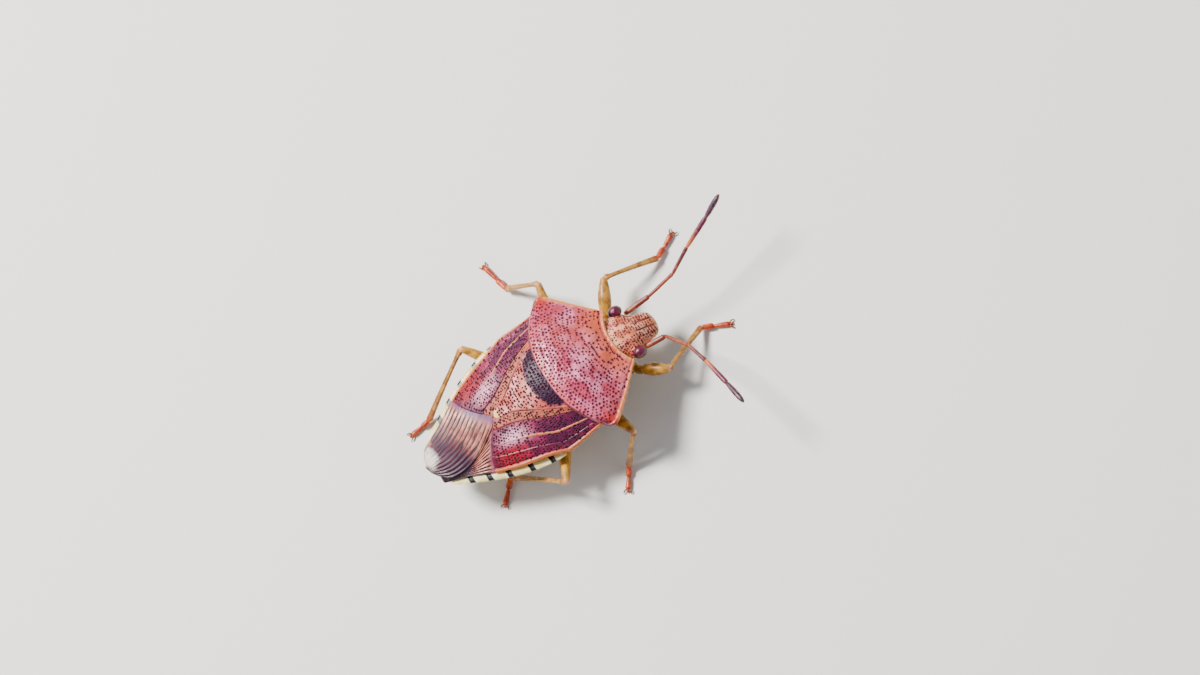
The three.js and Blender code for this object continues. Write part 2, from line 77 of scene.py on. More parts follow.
# %% [markdown]
# The photograph was taken from high above the bug's right side with the picture turned. The
# camera is placed by three angles, a distance and the size of one millimetre in the picture,
# and then moved sideways until a point on the back falls where it does in the photograph. It
# could be placed by hand in the viewport, but angles can be checked and repeated.

# %% Camera
PICTURE = (1200, 675)
SENSOR = 36.0
AZIMUTH, ELEVATION, ROLL = (math.radians(a) for a in (-72.0, 71.0, 51.3))
DISTANCE = 200.0
PIXELS_PER_MM = 32.2
AIM = np.array([0.0, 0.0, 2.4])
AIM_PIXEL = (576.0, 361.0)
NEAR_CLIP, FAR_CLIP = 0.01, 5.0

back = np.array([
    math.sin(AZIMUTH) * math.cos(ELEVATION),
    -math.cos(AZIMUTH) * math.cos(ELEVATION),
    math.sin(ELEVATION),
])
level = np.array([math.cos(AZIMUTH), math.sin(AZIMUTH), 0.0])
rise = np.cross(back, level)
picture_right = level * math.cos(ROLL) - rise * math.sin(ROLL)
picture_up = level * math.sin(ROLL) + rise * math.cos(ROLL)
aside = (AIM_PIXEL[0] - PICTURE[0] / 2) / PIXELS_PER_MM
above = (PICTURE[1] / 2 - AIM_PIXEL[1]) / PIXELS_PER_MM
camera_place = AIM + back * DISTANCE - picture_right * aside - picture_up * above

bpy.ops.object.camera_add()
camera = bpy.context.object
camera.name = "camera"
camera.data.sensor_width = SENSOR
camera.data.lens = SENSOR * PIXELS_PER_MM * DISTANCE / PICTURE[0]
camera.data.clip_start = NEAR_CLIP
camera.data.clip_end = FAR_CLIP
turn = Matrix([picture_right, picture_up, back]).transposed().to_4x4()
camera.matrix_world = Matrix.Translation(Vector(in_frame(camera_place))) @ turn
bpy.context.scene.camera = camera
print("lens", round(camera.data.lens, 1), "mm")

# %% [markdown]
# A plain pale floor keeps the eye on the bug. It could be left one flat colour, but a faint
# mottle keeps it from looking like an empty page.

# %% Floor
FLOOR_SIZE = 0.6
MOTTLE_SCALE = 90.0


def plain_material(name, colour, roughness):
    """A floor finish with a faint mottle, so that the plane isn't one dead tone."""
    material = bpy.data.materials.new(name)
    material.use_nodes = True
    tree = material.node_tree
    shader = tree.nodes["Principled BSDF"]
    place = tree.nodes.new("ShaderNodeTexCoord")
    noise = tree.nodes.new("ShaderNodeTexNoise")
    noise.inputs["Scale"].default_value = MOTTLE_SCALE
    noise.inputs["Detail"].default_value = 4.0
    shades = tree.nodes.new("ShaderNodeValToRGB")
    shades.color_ramp.elements[0].color = (*[c * 0.97 for c in colour], 1)
    shades.color_ramp.elements[1].color = (*colour, 1)
    tree.links.new(place.outputs["Object"], noise.inputs["Vector"])
    tree.links.new(noise.outputs["Fac"], shades.inputs["Fac"])
    tree.links.new(shades.outputs["Color"], shader.inputs["Base Color"])
    shader.inputs["Roughness"].default_value = roughness
    return material


bpy.ops.mesh.primitive_plane_add(size=FLOOR_SIZE, location=(0, 0, 0))
floor = bpy.context.object
floor.name = "floor"
floor.data.materials.append(plain_material("pale_floor", (0.86, 0.85, 0.82), 0.75))
print("floor:", FLOOR_SIZE, "m wide")

# %% [markdown]
# The main lamp stands on the picture's upper left, where the photograph's light comes from, so
# the shadow falls to the right. One sun lamp would do, but its hard shadow hides the legs, so
# three square lamps and a dim world share the work. Lamps this close need only a fraction of a
# watt.

# %% Lamps
WORLD_COLOUR = (0.86, 0.9, 1.0, 1)
WORLD_STRENGTH = 0.29


def lamp(name, direction, distance, size, watts, tint):
    """A square lamp that looks at the bug from a direction in its own axes."""
    bpy.ops.object.light_add(type="AREA")
    made = bpy.context.object
    made.name = name
    made.data.size = size
    made.data.energy = watts
    made.data.color = tint
    toward = Vector(direction).normalized()
    made.location = Vector(in_frame(AIM)) + toward * distance
    made.rotation_euler = toward.to_track_quat("Z", "Y").to_euler()


main_direction = np.array([0, 0, 0.8]) - 0.7 * picture_right + 0.34 * picture_up
side_direction = np.array([0, 0, 0.7]) + 0.9 * picture_right
lamp("main_lamp", main_direction, distance=0.16, size=0.04, watts=0.7, tint=(1.0, 0.96, 0.91))
lamp("side_lamp", side_direction, distance=0.2, size=0.14, watts=0.08, tint=(0.88, 0.93, 1.0))
lamp("tail_lamp", (0.2, 1.0, 0.7), distance=0.2, size=0.12, watts=0.08, tint=(1.0, 0.98, 0.95))
world = bpy.data.worlds.new("studio")
bpy.context.scene.world = world
world.use_nodes = True
world.node_tree.nodes["Background"].inputs["Color"].default_value = WORLD_COLOUR
world.node_tree.nodes["Background"].inputs["Strength"].default_value = WORLD_STRENGTH

# %% [markdown]
# Nearly every form here is a smooth function of the place along the body. Such a line could be
# a curve object, but a function can be asked for its value anywhere, also by the pits and the
# hairs. One helper makes it from a few stations, and it takes whole arrays at once.

# %% Smooth profiles
def profile(pairs):
    """A smooth curve through (place, value) stations, level beyond both ends."""
    at, value = (np.array(column, dtype=float) for column in zip(*pairs))
    slope = np.empty_like(value)
    slope[1:-1] = (value[2:] - value[:-2]) / (at[2:] - at[:-2])
    slope[0] = (value[1] - value[0]) / (at[1] - at[0])
    slope[-1] = (value[-1] - value[-2]) / (at[-1] - at[-2])

    def curve(x):
        x = np.clip(np.asarray(x, dtype=float), at[0], at[-1])
        i = np.clip(np.searchsorted(at, x, side="right") - 1, 0, len(at) - 2)
        step = at[i + 1] - at[i]
        t = (x - at[i]) / step
        s = t * t * (3 - 2 * t)
        bend = t * (1 - t) ** 2 * slope[i] - t**2 * (1 - t) * slope[i + 1]
        return value[i] * (1 - s) + value[i + 1] * s + bend * step

    return curve


def mix(a, b, t):
    return a + (b - a) * t


def bump(x, middle, reach):
    """One at the middle, falling smoothly to nothing at the reach."""
    return np.clip(1 - ((x - middle) / reach) ** 2, 0, 1) ** 2


def soft_step(x, start, end):
    t = np.clip((x - start) / (end - start), 0, 1)
    return t * t * (3 - 2 * t)


print("halfway up a soft step:", float(soft_step(0.5, 0, 1)))

# %% [markdown]
# Three of these lines shape the whole back: how wide it is, how high its middle is and how high
# its edges are. Wings, scutellum and rim all lie on them, so they meet without gaps.

# %% The lines of the back
half_width = profile([
    (0.0, 2.2), (0.6, 2.14), (1.3, 2.17), (1.75, 2.19), (2.3, 2.15), (3.0, 2.0), (3.73, 1.74),
    (4.3, 1.47), (4.8, 1.2), (5.2, 0.98), (5.5, 0.76), (5.74, 0.48), (5.88, 0.14),
])
back_height = profile([
    (0.0, 2.9), (0.6, 2.95), (1.0, 2.94), (1.5, 2.88), (2.0, 2.77), (2.5, 2.62), (3.1, 2.42),
    (3.6, 2.28), (4.3, 2.13), (5.0, 1.97), (5.88, 1.78),
])
edge_height = profile([
    (-1.4, 2.02), (-0.8, 2.12), (-0.2, 2.28), (0.2, 2.28), (0.6, 2.18), (1.0, 2.08),
    (1.6, 1.98), (2.3, 1.92), (3.0, 1.88), (4.0, 1.82), (5.0, 1.74), (5.88, 1.68),
])
BACK_CROWN = 2.2


def back_top(x, y):
    """Height of the back behind the pronotum."""
    across = np.minimum(np.abs(x) / half_width(y), 1)
    return mix(edge_height(y), back_height(y), 1 - across**BACK_CROWN)


print("back at the scutellum's tip:", round(float(back_top(0, 3.1)), 3), "mm")

# %% [markdown]
# A piece starts as Blender's grid primitive, and a place function lays its points on the wanted
# surface. The plates could be extruded and sculpted by hand, but their beads and veins are a few
# hundredths of a millimetre wide and must line up from plate to plate, which a formula gives. The
# grid also keeps its own map, u across and v along, which the materials use. A closed form, such
# as a leg, is a grid rolled up: its seam and its poles are merged.

# %% Laying a grid on a form
MERGE = 1e-6


def grid(name, columns, rows):
    bpy.ops.object.select_all(action="DESELECT")
    bpy.ops.mesh.primitive_grid_add(x_subdivisions=columns, y_subdivisions=rows, size=1)
    made = bpy.context.object
    made.name = name
    return made


def points_of(piece):
    """The piece's points as rows of x, y, z."""
    flat = np.empty(len(piece.data.vertices) * 3)
    piece.data.vertices.foreach_get("co", flat)
    return flat.reshape(-1, 3)


def move_points(piece, points):
    piece.data.vertices.foreach_set("co", np.asarray(points, dtype=float).ravel())
    piece.data.update()


def laid(name, columns, rows, place, side=1, rolled=False):
    """A grid laid by place(u, v) -> x, y, z in the bug's millimetres. Side -1 mirrors it."""
    piece = grid(name, columns, rows)
    u, v, _ = np.round(points_of(piece) + 0.5, 6).T
    x, y, z = place(u, v)
    move_points(piece, in_frame(np.stack([side * x, y, z], axis=1)))
    bpy.ops.object.mode_set(mode="EDIT")
    bpy.ops.mesh.select_all(action="SELECT")
    if rolled:
        bpy.ops.mesh.remove_doubles(threshold=MERGE)
        bpy.ops.mesh.normals_make_consistent(inside=False)
    elif side < 0:
        bpy.ops.mesh.flip_normals()
    bpy.ops.object.mode_set(mode="OBJECT")
    bpy.ops.object.shade_smooth()
    return piece


def walled(piece, drop, tuck):
    """Folds the free edge of a laid sheet down and inward, and closes it underneath."""
    bpy.ops.object.mode_set(mode="EDIT")
    bpy.ops.mesh.select_all(action="SELECT")
    bpy.ops.mesh.region_to_loop()
    down = {"value": (0, 0, -drop * MM)}
    bpy.ops.mesh.extrude_region_move(TRANSFORM_OT_translate=down)
    bpy.ops.mesh.extrude_region_move(TRANSFORM_OT_translate=down)
    bpy.ops.transform.resize(value=(1 - tuck, 1 - tuck, 1))
    bpy.ops.mesh.edge_face_add()
    bpy.ops.mesh.select_all(action="SELECT")
    bpy.ops.mesh.normals_make_consistent(inside=False)
    bpy.ops.object.mode_set(mode="OBJECT")


print("points closer than", MERGE, "m are merged at seams and poles")

# %% [markdown]
# The back of this bug is covered with small round pits, each dark at its bottom. A bump texture
# could hint at them, but it stays flat from the side, so they are real hollows here. A list of
# pit centres is scattered in loose rows, and every point near one sinks. How deep a point lies in
# a pit is kept on the mesh as the attribute "pit", so that the material can darken it.

# %% Pits
PIT_SIZES = (0.65, 1.25)  # smallest and largest, as shares of the usual radius
PIT_WALL = (1.1, 0.3)     # where the wall starts and where the bottom does, in radii
PIT_SHADE = (1.7, 0.5)    # the same for the dark stain round it


def scattered(place, keep, spacing, spread, seed, size):
    """Pit centres in loose rows over a u, v square whose sides measure about size millimetres."""
    random = np.random.RandomState(seed)
    across, along = int(size[0] / spacing), int(size[1] / spacing)
    i, j = np.meshgrid(np.arange(across), np.arange(along))
    u = (i + 0.5 * (j % 2) + 0.5 + spread * (random.rand(*i.shape) - 0.5)) / across
    v = (j + 0.5 + spread * (random.rand(*i.shape) - 0.5)) / along
    u, v = u.ravel() % 1.0, v.ravel()
    chosen = random.rand(len(u)) < keep(u, v)
    x, y, z = place(u[chosen], v[chosen])
    return np.stack([x, y, z], axis=1)


def pitted(piece, centres, radius, depth):
    """Sinks the piece's points round each centre and keeps the depth as an attribute."""
    tree = KDTree(len(centres))
    for i, centre in enumerate(in_frame(centres)):
        tree.insert(Vector(centre), i)
    tree.balance()
    mesh = piece.data
    normals = np.empty(len(mesh.vertices) * 3)
    mesh.vertices.foreach_get("normal", normals)
    points = points_of(piece)
    found = [tree.find(Vector(p)) for p in points]
    share = np.random.RandomState(5).rand(len(centres))
    sizes = radius * MM * mix(*PIT_SIZES, share)
    near = np.array([hit[2] / sizes[hit[1]] for hit in found])
    hollow = soft_step(near, *PIT_WALL)
    move_points(piece, points - normals.reshape(-1, 3) * (hollow * depth * MM)[:, None])
    mask = mesh.attributes.new("pit", "FLOAT", "POINT")
    mask.data.foreach_set("value", soft_step(near, *PIT_SHADE))
    print(piece.name, "has", len(centres), "pits")


# %% [markdown]
# The bug's colours are clouds, bands and spots laid over one another. Each is a mask, and the
# nodes for it could be linked one by one, which takes ten lines for one band. A small class lets
# a mask be written as a formula instead: every sign in it becomes a Math node.

# %% Formulas as nodes
def srgb(code):
    """A colour as the eye names it, turned into the linear light that shaders use."""
    parts = [int(code[i:i + 2], 16) / 255 for i in (0, 2, 4)]
    return tuple(c / 12.92 if c <= 0.04045 else ((c + 0.055) / 1.055) ** 2.4 for c in parts)


class Wire:
    """One output in a node tree, which can be added, scaled and compared like a number."""

    def __init__(self, tree, socket):
        self.tree, self.socket = tree, socket

    def math(self, operation, *others):
        node = self.tree.nodes.new("ShaderNodeMath")
        node.operation = operation
        for value, socket in zip((self, *others), node.inputs):
            plug(self.tree, value, socket)
        return Wire(self.tree, node.outputs[0])

    def __add__(self, other):
        return self.math("ADD", other)

    def __sub__(self, other):
        return self.math("SUBTRACT", other)

    def __mul__(self, other):
        return self.math("MULTIPLY", other)

    def size(self):
        return self.math("ABSOLUTE")

    def step(self, start, end):
        """A soft mask that rises from nothing at start to one at end, or falls if end is lower."""
        node = self.tree.nodes.new("ShaderNodeMapRange")
        node.interpolation_type = "SMOOTHSTEP"
        falling = end < start
        plug(self.tree, self, node.inputs["Value"])
        node.inputs["From Min"].default_value = min(start, end)
        node.inputs["From Max"].default_value = max(start, end)
        node.inputs["To Min"].default_value = 1.0 if falling else 0.0
        node.inputs["To Max"].default_value = 0.0 if falling else 1.0
        return Wire(self.tree, node.outputs["Result"])

    def near(self, middle, reach):
        """A soft mask that is one at the middle and nothing beyond the reach."""
        return (self - middle).size().step(reach, 0.0)


def plug(tree, value, socket):
    """Gives a socket another node's output, a colour by its code, or a number."""
    if isinstance(value, Wire):
        tree.links.new(value.socket, socket)
    elif isinstance(value, str):
        socket.default_value = (*srgb(value), 1.0)
    else:
        socket.default_value = value


def strongest(masks):
    """The highest of several masks at each place."""
    first, *others = masks
    for other in others:
        first = first.math("MAXIMUM", other)
    return first


print("mid grey is", round(srgb("808080")[0], 3), "in linear light")

# %% [markdown]
# A finish needs to know where on the bug it is. The brush gives that place in the bug's own
# millimetres and on the piece's own map, with noise, cells and the pits. It could read one
# texture for each piece, but a place in millimetres lets a cloud or a band run on over a joint.

# %% The brush
class Brush:
    """What a finish is painted with: the place on the bug in millimetres, noise and attributes."""

    def __init__(self, tree):
        self.tree = tree
        coordinates = tree.nodes.new("ShaderNodeTexCoord")
        mapping = tree.nodes.new("ShaderNodeMapping")
        mapping.inputs["Scale"].default_value = (1 / MM,) * 3
        mapping.inputs["Location"].default_value = tuple(-ORIGIN / MM)
        tree.links.new(coordinates.outputs["Object"], mapping.inputs["Vector"])
        self.place = mapping.outputs["Vector"]
        parts = tree.nodes.new("ShaderNodeSeparateXYZ")
        tree.links.new(self.place, parts.inputs["Vector"])
        self.x, self.y, self.z = (Wire(tree, parts.outputs[i]) for i in range(3))
        own = tree.nodes.new("ShaderNodeSeparateXYZ")
        tree.links.new(coordinates.outputs["UV"], own.inputs["Vector"])
        self.u, self.v = (Wire(tree, own.outputs[i]) for i in range(2))

    def noise(self, per_mm, detail=3.0, stretch=(1, 1, 1), own_map=False):
        node = self.tree.nodes.new("ShaderNodeTexNoise")
        node.inputs["Scale"].default_value = per_mm
        node.inputs["Detail"].default_value = detail
        mapping = self.tree.nodes.new("ShaderNodeMapping")
        mapping.inputs["Scale"].default_value = stretch
        source = self.place
        if own_map:
            source = self.tree.nodes.new("ShaderNodeTexCoord").outputs["UV"]
        self.tree.links.new(source, mapping.inputs["Vector"])
        self.tree.links.new(mapping.outputs["Vector"], node.inputs["Vector"])
        return Wire(self.tree, node.outputs["Fac"])

    def cells(self, per_mm):
        node = self.tree.nodes.new("ShaderNodeTexVoronoi")
        node.inputs["Scale"].default_value = per_mm
        self.tree.links.new(self.place, node.inputs["Vector"])
        return Wire(self.tree, node.outputs["Distance"])

    def attribute(self, name):
        node = self.tree.nodes.new("ShaderNodeAttribute")
        node.attribute_name = name
        return Wire(self.tree, node.outputs["Fac"])

    def dotted(self, colour, dark):
        """The colour with every pit dark and a thin blush round it."""
        pit = self.attribute("pit")
        blushed = self.blend(pit.step(0.05, 0.6) * 0.45, colour, dark)
        return self.blend(pit.step(0.4, 0.8) * 0.92, blushed, dark)

    def blend(self, mask, under, over):
        node = self.tree.nodes.new("ShaderNodeMix")
        node.data_type = "RGBA"
        plug(self.tree, mask, node.inputs["Factor"])
        plug(self.tree, under, node.inputs[6])
        plug(self.tree, over, node.inputs[7])
        return Wire(self.tree, node.outputs[2])


print("brush ready")

# %% [markdown]
# Insect shell is a waxy, slightly see-through skin. All finishes share one recipe: colour, fine
# grain in the roughness, a thin clear coat, a little light that goes into the skin, and a relief.
# Each could be a tree of its own, but one recipe keeps the parts looking like one animal.

# %% The finish
GRAIN_PER_MM = 55.0
GRAIN_SHARE = 0.16
PIT_ROUGHNESS = 0.35
COAT_ROUGHNESS = 0.22
SKIN_RADIUS = (1.0, 0.5, 0.35)
SKIN_DEPTH_MM = 0.12
RELIEF_STRENGTH = 0.8


def finish(name, paint, roughness=0.4, coat=0.18, relief=None, relief_mm=0.004,
           inner_glow=0.08, gloss=0.36, pits=False):
    """A procedural finish. paint and relief take a brush and give a colour and a height.

    On a piece with pits the coat stops at them. Elsewhere it is one number, set on the shader.
    """
    material = bpy.data.materials.new(name)
    material.use_nodes = True
    tree = material.node_tree
    shader = tree.nodes["Principled BSDF"]
    brush = Brush(tree)
    plug(tree, paint(brush), shader.inputs["Base Color"])
    grain = brush.noise(GRAIN_PER_MM, 2.0)
    rough = grain * GRAIN_SHARE + (roughness - GRAIN_SHARE / 2)
    shader.inputs["Coat Weight"].default_value = coat
    if pits:
        pit = brush.attribute("pit")
        rough = rough + pit * PIT_ROUGHNESS
        plug(tree, pit.step(0.6, 0.1) * coat, shader.inputs["Coat Weight"])
    plug(tree, rough, shader.inputs["Roughness"])
    shader.inputs["Coat Roughness"].default_value = COAT_ROUGHNESS
    shader.inputs["Specular IOR Level"].default_value = gloss
    shader.inputs["Subsurface Weight"].default_value = inner_glow
    shader.inputs["Subsurface Radius"].default_value = SKIN_RADIUS
    shader.inputs["Subsurface Scale"].default_value = SKIN_DEPTH_MM * MM
    height = relief(brush) if relief else grain
    node = tree.nodes.new("ShaderNodeBump")
    node.inputs["Strength"].default_value = RELIEF_STRENGTH
    node.inputs["Distance"].default_value = relief_mm * MM
    plug(tree, height, node.inputs["Height"])
    tree.links.new(node.outputs["Normal"], shader.inputs["Normal"])
    return material


def fitted(piece, material, node=None):
    """Gives a piece its finish and body, and hides the solid that it stands for, if any."""
    piece.data.materials.append(material)
    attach(piece, "root")
    if node:
        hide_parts(node)


print("finish ready")

# %% [markdown]
# The pronotum is the broad shield behind the head. Its middle rises to a hump, its sides end in
# a smooth raised bead and its hind corners are the shoulders. Near the front lie two low smooth
# swellings. It could be a cut-down ball with a bevelled edge, but none of its outlines is round.
# So it is one laid sheet with its edge folded under, and from below it has a true lip.

# %% The pronotum's form
COLLAR_Y = -1.27
SHOULDER_X = 2.43
REAR_BOW = 2.4
PRONOTUM_LIP = 0.05
pronotum_half = profile([
    (0, 0.93), (0.2, 1.32), (0.4, 1.72), (0.6, 2.08), (0.78, 2.34), (0.9, SHOULDER_X), (1, 2.36),
])
pronotum_side_y = profile([
    (0, -1.54), (0.2, -1.17), (0.4, -0.8), (0.6, -0.46), (0.78, -0.2), (0.9, -0.02), (1, 0.2),
])
pronotum_mid_z = profile([
    (0, 2.2), (0.17, 2.46), (0.37, 2.76), (0.57, 2.98), (0.77, 3.06), (1, 3.02),
])
pronotum_side_z = profile([(0, 2.1), (0.4, 2.22), (0.7, 2.38), (0.9, 2.42), (1, 2.4)])


def pronotum_place(u, v):
    across = 2 * u - 1
    out = np.abs(across)
    x = across * pronotum_half(v)
    rear = mix(COLLAR_Y, PRONOTUM_REAR_Y + PRONOTUM_LIP, v)
    y = mix(pronotum_side_y(v), rear, 1 - out**REAR_BOW)
    z = mix(pronotum_side_z(v), pronotum_mid_z(v), 1 - out**BACK_CROWN)
    # The bead and its furrow, along the sides and the front
    z += 0.02 * bump(out, 0.985, 0.02) - 0.03 * bump(out, 0.945, 0.035)
    z += 0.02 * bump(v, 0.014, 0.018) - 0.03 * bump(v, 0.05, 0.03)
    # The unevenness of the skin
    z += 0.009 * np.sin(26 * u + 4 * np.sin(9 * v)) * np.sin(34 * v + 3 * np.sin(13 * u))
    # Swellings, the hollow flanks, the shoulders and the lip at the rear
    z += 0.05 * bump(out, 0.3, 0.24) * bump(v, 0.19, 0.1)
    z -= 0.06 * bump(out, 0.66, 0.26) * bump(v, 0.42, 0.3)
    z += 0.03 * bump(out, 0.92, 0.12) * bump(v, 0.86, 0.16)
    z -= 0.16 * soft_step(v, 0.955, 1.0) * (1 - 0.5 * out)
    return x, y, z


def pronotum_pits(u, v):
    out = np.abs(2 * u - 1)
    smooth_swelling = bump(out, 0.3, 0.22) * bump(v, 0.19, 0.09)
    share = pronotum_half(v) / SHOULDER_X * (out < 0.955) * (v > 0.04) * (v < 0.975)
    return share * (1 - 0.85 * smooth_swelling)


pronotum = laid("pronotum_shell", columns=380, rows=230, place=pronotum_place)
pits = scattered(pronotum_place, pronotum_pits, spacing=0.118, spread=0.42, seed=11,
                 size=(4.9, 2.6))
pitted(pronotum, pits, radius=0.035, depth=0.026)
walled(pronotum, drop=0.06, tuck=0.03)
print("pronotum:", len(pronotum.data.polygons), "faces")

# %% [markdown]
# The pronotum is pink with redder clouds, orange toward the head and crimson on the shoulders,
# and its bead is orange. The bands could be painted on faces by hand. They follow the piece's own
# map instead, so they keep to its bead and its rear edge all round.

# %% The pronotum's finish
def shell_relief(b):
    """The uneven skin between the pits."""
    return b.noise(13.0, 4.0)


def pronotum_paint(b):
    out = ((b.u - 0.5) * 2).size()
    cloudy = b.noise(1.7, 4.0).step(0.38, 0.66)
    colour = b.blend(cloudy, "b43a54", "f694b8")
    colour = b.blend(b.noise(0.9, 2.0).step(0.45, 0.6) * 0.5, colour, "b84838")
    colour = b.blend(b.v.step(0.45, 0.1) * 0.8, colour, "cc5c30")
    colour = b.blend(b.v.step(0.6, 0.95) * 0.55, colour, "b01c50")
    colour = b.blend(b.v.near(0.925, 0.05) * out.step(0.8, 0.5) * 0.8, colour, "d0483c")
    colour = b.blend(b.v.step(0.955, 0.985), colour, "5c1028")
    shoulder = out.step(0.8, 0.93) * b.v.step(0.66, 0.8)
    colour = b.blend(shoulder, colour, "bf2a18")
    colour = b.blend(shoulder * b.v.step(0.84, 0.95), colour, "6e0a28")
    margin = out.step(0.955, 0.975) * b.v.step(0.86, 0.72)
    colour = b.blend(margin, colour, "e0843c")
    colour = b.blend(b.v.step(0.03, 0.012), colour, "d88a50")
    colour = b.blend(b.noise(14.0, 3.0).step(0.5, 0.72) * 0.3, colour, "8c2c40")
    return b.dotted(colour, "54082c")


pronotum_cuticle = finish("pronotum_cuticle", pronotum_paint, coat=0.3, pits=True,
                          relief=shell_relief, relief_mm=0.03)
fitted(pronotum, pronotum_cuticle, "pronotum")
print("pronotum finished with", pronotum_cuticle.name)

# %% [markdown]
# The scutellum is the long triangle between the wings. Its broad base carries a black patch
# with a violet shine, and its tip is smooth and pale. It could be cut out of the back, but on the
# insect it is a plate of its own, so it is laid as one and starts under the pronotum's rear lip.

# %% Scutellum
SCUTELLUM_SIDE_Y = 0.9
SCUTELLUM_TIP_Y = 3.1
UNDER_LIP = 0.1
scutellum_half = profile([
    (0.9, 1.33), (1.35, 1.07), (1.8, 0.78), (2.2, 0.48), (2.55, 0.27), (2.9, 0.18), (3.04, 0.12),
    (SCUTELLUM_TIP_Y, 0.02),
])


def behind_pronotum(x):
    out = np.minimum(np.abs(x) / pronotum_half(1), 1)
    return mix(pronotum_side_y(1), PRONOTUM_REAR_Y, 1 - out**REAR_BOW) - UNDER_LIP


def scutellum_place(u, v):
    across = 2 * u - 1
    out = np.abs(across)
    along = 1 - (1 - v) ** 1.15
    side = mix(SCUTELLUM_SIDE_Y, SCUTELLUM_TIP_Y, along)
    x = across * scutellum_half(side)
    y = mix(behind_pronotum(across * scutellum_half(SCUTELLUM_SIDE_Y)), SCUTELLUM_TIP_Y, along)
    z = back_top(x, y) + 0.045 + 0.05 * (1 - out**2) * bump(v, 0.2, 0.5)
    z += 0.014 * bump(out, 0.965, 0.04) - 0.02 * bump(out, 0.91, 0.04)
    z -= 0.05 * soft_step(v, 0.95, 1.0) + 0.03 * out**6
    return x, y, z


def scutellum_pits(u, v):
    side = mix(SCUTELLUM_SIDE_Y, SCUTELLUM_TIP_Y, v)
    return scutellum_half(side) / 1.33 * (np.abs(2 * u - 1) < 0.9) * (v < 0.9)


scutellum = laid("scutellum_shell", columns=230, rows=200, place=scutellum_place)
pits = scattered(scutellum_place, scutellum_pits, spacing=0.108, spread=0.34, seed=12,
                 size=(2.7, 2.3))
pitted(scutellum, pits, radius=0.033, depth=0.028)
walled(scutellum, drop=0.07, tuck=0.05)


def scutellum_paint(b):
    out = ((b.u - 0.5) * 2).size()
    colour = b.blend(b.noise(2.2, 4.0).step(0.4, 0.66), "c05a50", "f0a4a0")
    colour = b.blend(out.step(0.9, 0.97) * 0.7, colour, "a82c24")
    reach = b.x * b.x * 0.82 + (b.y - 1.0) * (b.y - 1.0) * 2.6
    ragged = reach + b.noise(7.0, 2.0) * 0.5
    colour = b.blend(ragged.step(1.42, 1.02), colour, "28062a")
    corner = b.x.size().near(1.16, 0.16) * b.y.near(1.02, 0.16)
    colour = b.blend(corner, colour, "d8501a")
    colour = b.blend(b.y.step(2.88, 2.98), colour, "f2cc88")
    return b.dotted(colour, "34061c")


scutellum_cuticle = finish("scutellum_cuticle", scutellum_paint, coat=0.05, gloss=0.22, pits=True,
                           relief=shell_relief, relief_mm=0.03)
fitted(scutellum, scutellum_cuticle, "scutellum")
print("scutellum:", len(scutellum.data.polygons), "faces")

# %% [markdown]
# Each fore wing has a leathery front part. A seam splits off the clavus, the strip along the
# scutellum, smooth veins run down the middle and the outer edge is a bead. A mirror modifier
# could make the second wing, but its pits would then match the first one's, which no insect's do.
# So both are laid by one function, the right one with x turned round, each with its own pits.

# %% The wings' form
band_width = profile([
    (1.75, 0), (2.1, 0.12), (2.6, 0.2), (4.8, 0.2), (5.3, 0.12), (5.6, 0),
])
leather_rear = profile([(0.1, 3.18), (0.43, 3.5), (0.92, 3.85), (1.38, 4.05)])
WING_FRONT_Y = 0.42
CORNER_Y = float(leather_rear(1.37))
SEAM_U = 0.19
vein_u = profile([(0, 0.6), (0.3, 0.56), (0.7, 0.5), (1, 0.46)])
second_vein_u = profile([(0, 0.82), (0.4, 0.8), (0.75, 0.74), (1, 0.7)])


def wing_margin(y):
    return half_width(y) - band_width(y)


def wing_place(u, v):
    inner_y = mix(SCUTELLUM_SIDE_Y, SCUTELLUM_TIP_Y + 0.03, v)
    outer_y = mix(WING_FRONT_Y, CORNER_Y, v)
    x = mix(np.maximum(scutellum_half(inner_y) - 0.04, 0.02), wing_margin(outer_y), u)
    front_x = mix(scutellum_half(SCUTELLUM_SIDE_Y), wing_margin(WING_FRONT_Y), u)
    front_bend = behind_pronotum(front_x) - mix(SCUTELLUM_SIDE_Y, WING_FRONT_Y, u)
    rear_bend = leather_rear(x) - mix(SCUTELLUM_TIP_Y + 0.03, CORNER_Y, u)
    y = mix(inner_y, outer_y, u) + front_bend * (1 - v) ** 2 + rear_bend * v**3
    z = back_top(x, y) + 0.012
    z += 0.026 * bump(u, 0.97, 0.03) - 0.03 * bump(u, 0.915, 0.03)
    z -= 0.035 * bump(u, SEAM_U, 0.02)
    z += 0.028 * bump(u, vein_u(v), 0.03) + 0.02 * bump(u, second_vein_u(v), 0.025)
    z -= 0.03 * soft_step(v, 0.985, 1.0)
    return x, y, z


def wing_pits(u, v):
    on_vein = bump(u, vein_u(v), 0.03) + bump(u, second_vein_u(v), 0.02) + bump(u, SEAM_U, 0.015)
    inner_y = mix(SCUTELLUM_SIDE_Y, SCUTELLUM_TIP_Y, v)
    width = wing_margin(mix(WING_FRONT_Y, CORNER_Y, v)) - scutellum_half(inner_y)
    return width / 1.9 * (on_vein < 0.3) * (u < 0.93) * (u > 0.03) * (v < 0.97)


print("a wing's corner lies at y =", round(CORNER_Y, 2), "mm")

# %% [markdown]
# The wings are purple at the front and crimson at the rear corner, with a pale cloud between and
# orange along the edge. Painting by the wing's own map keeps the colours beside the veins and the
# seam, which a pattern in millimetres would cross.

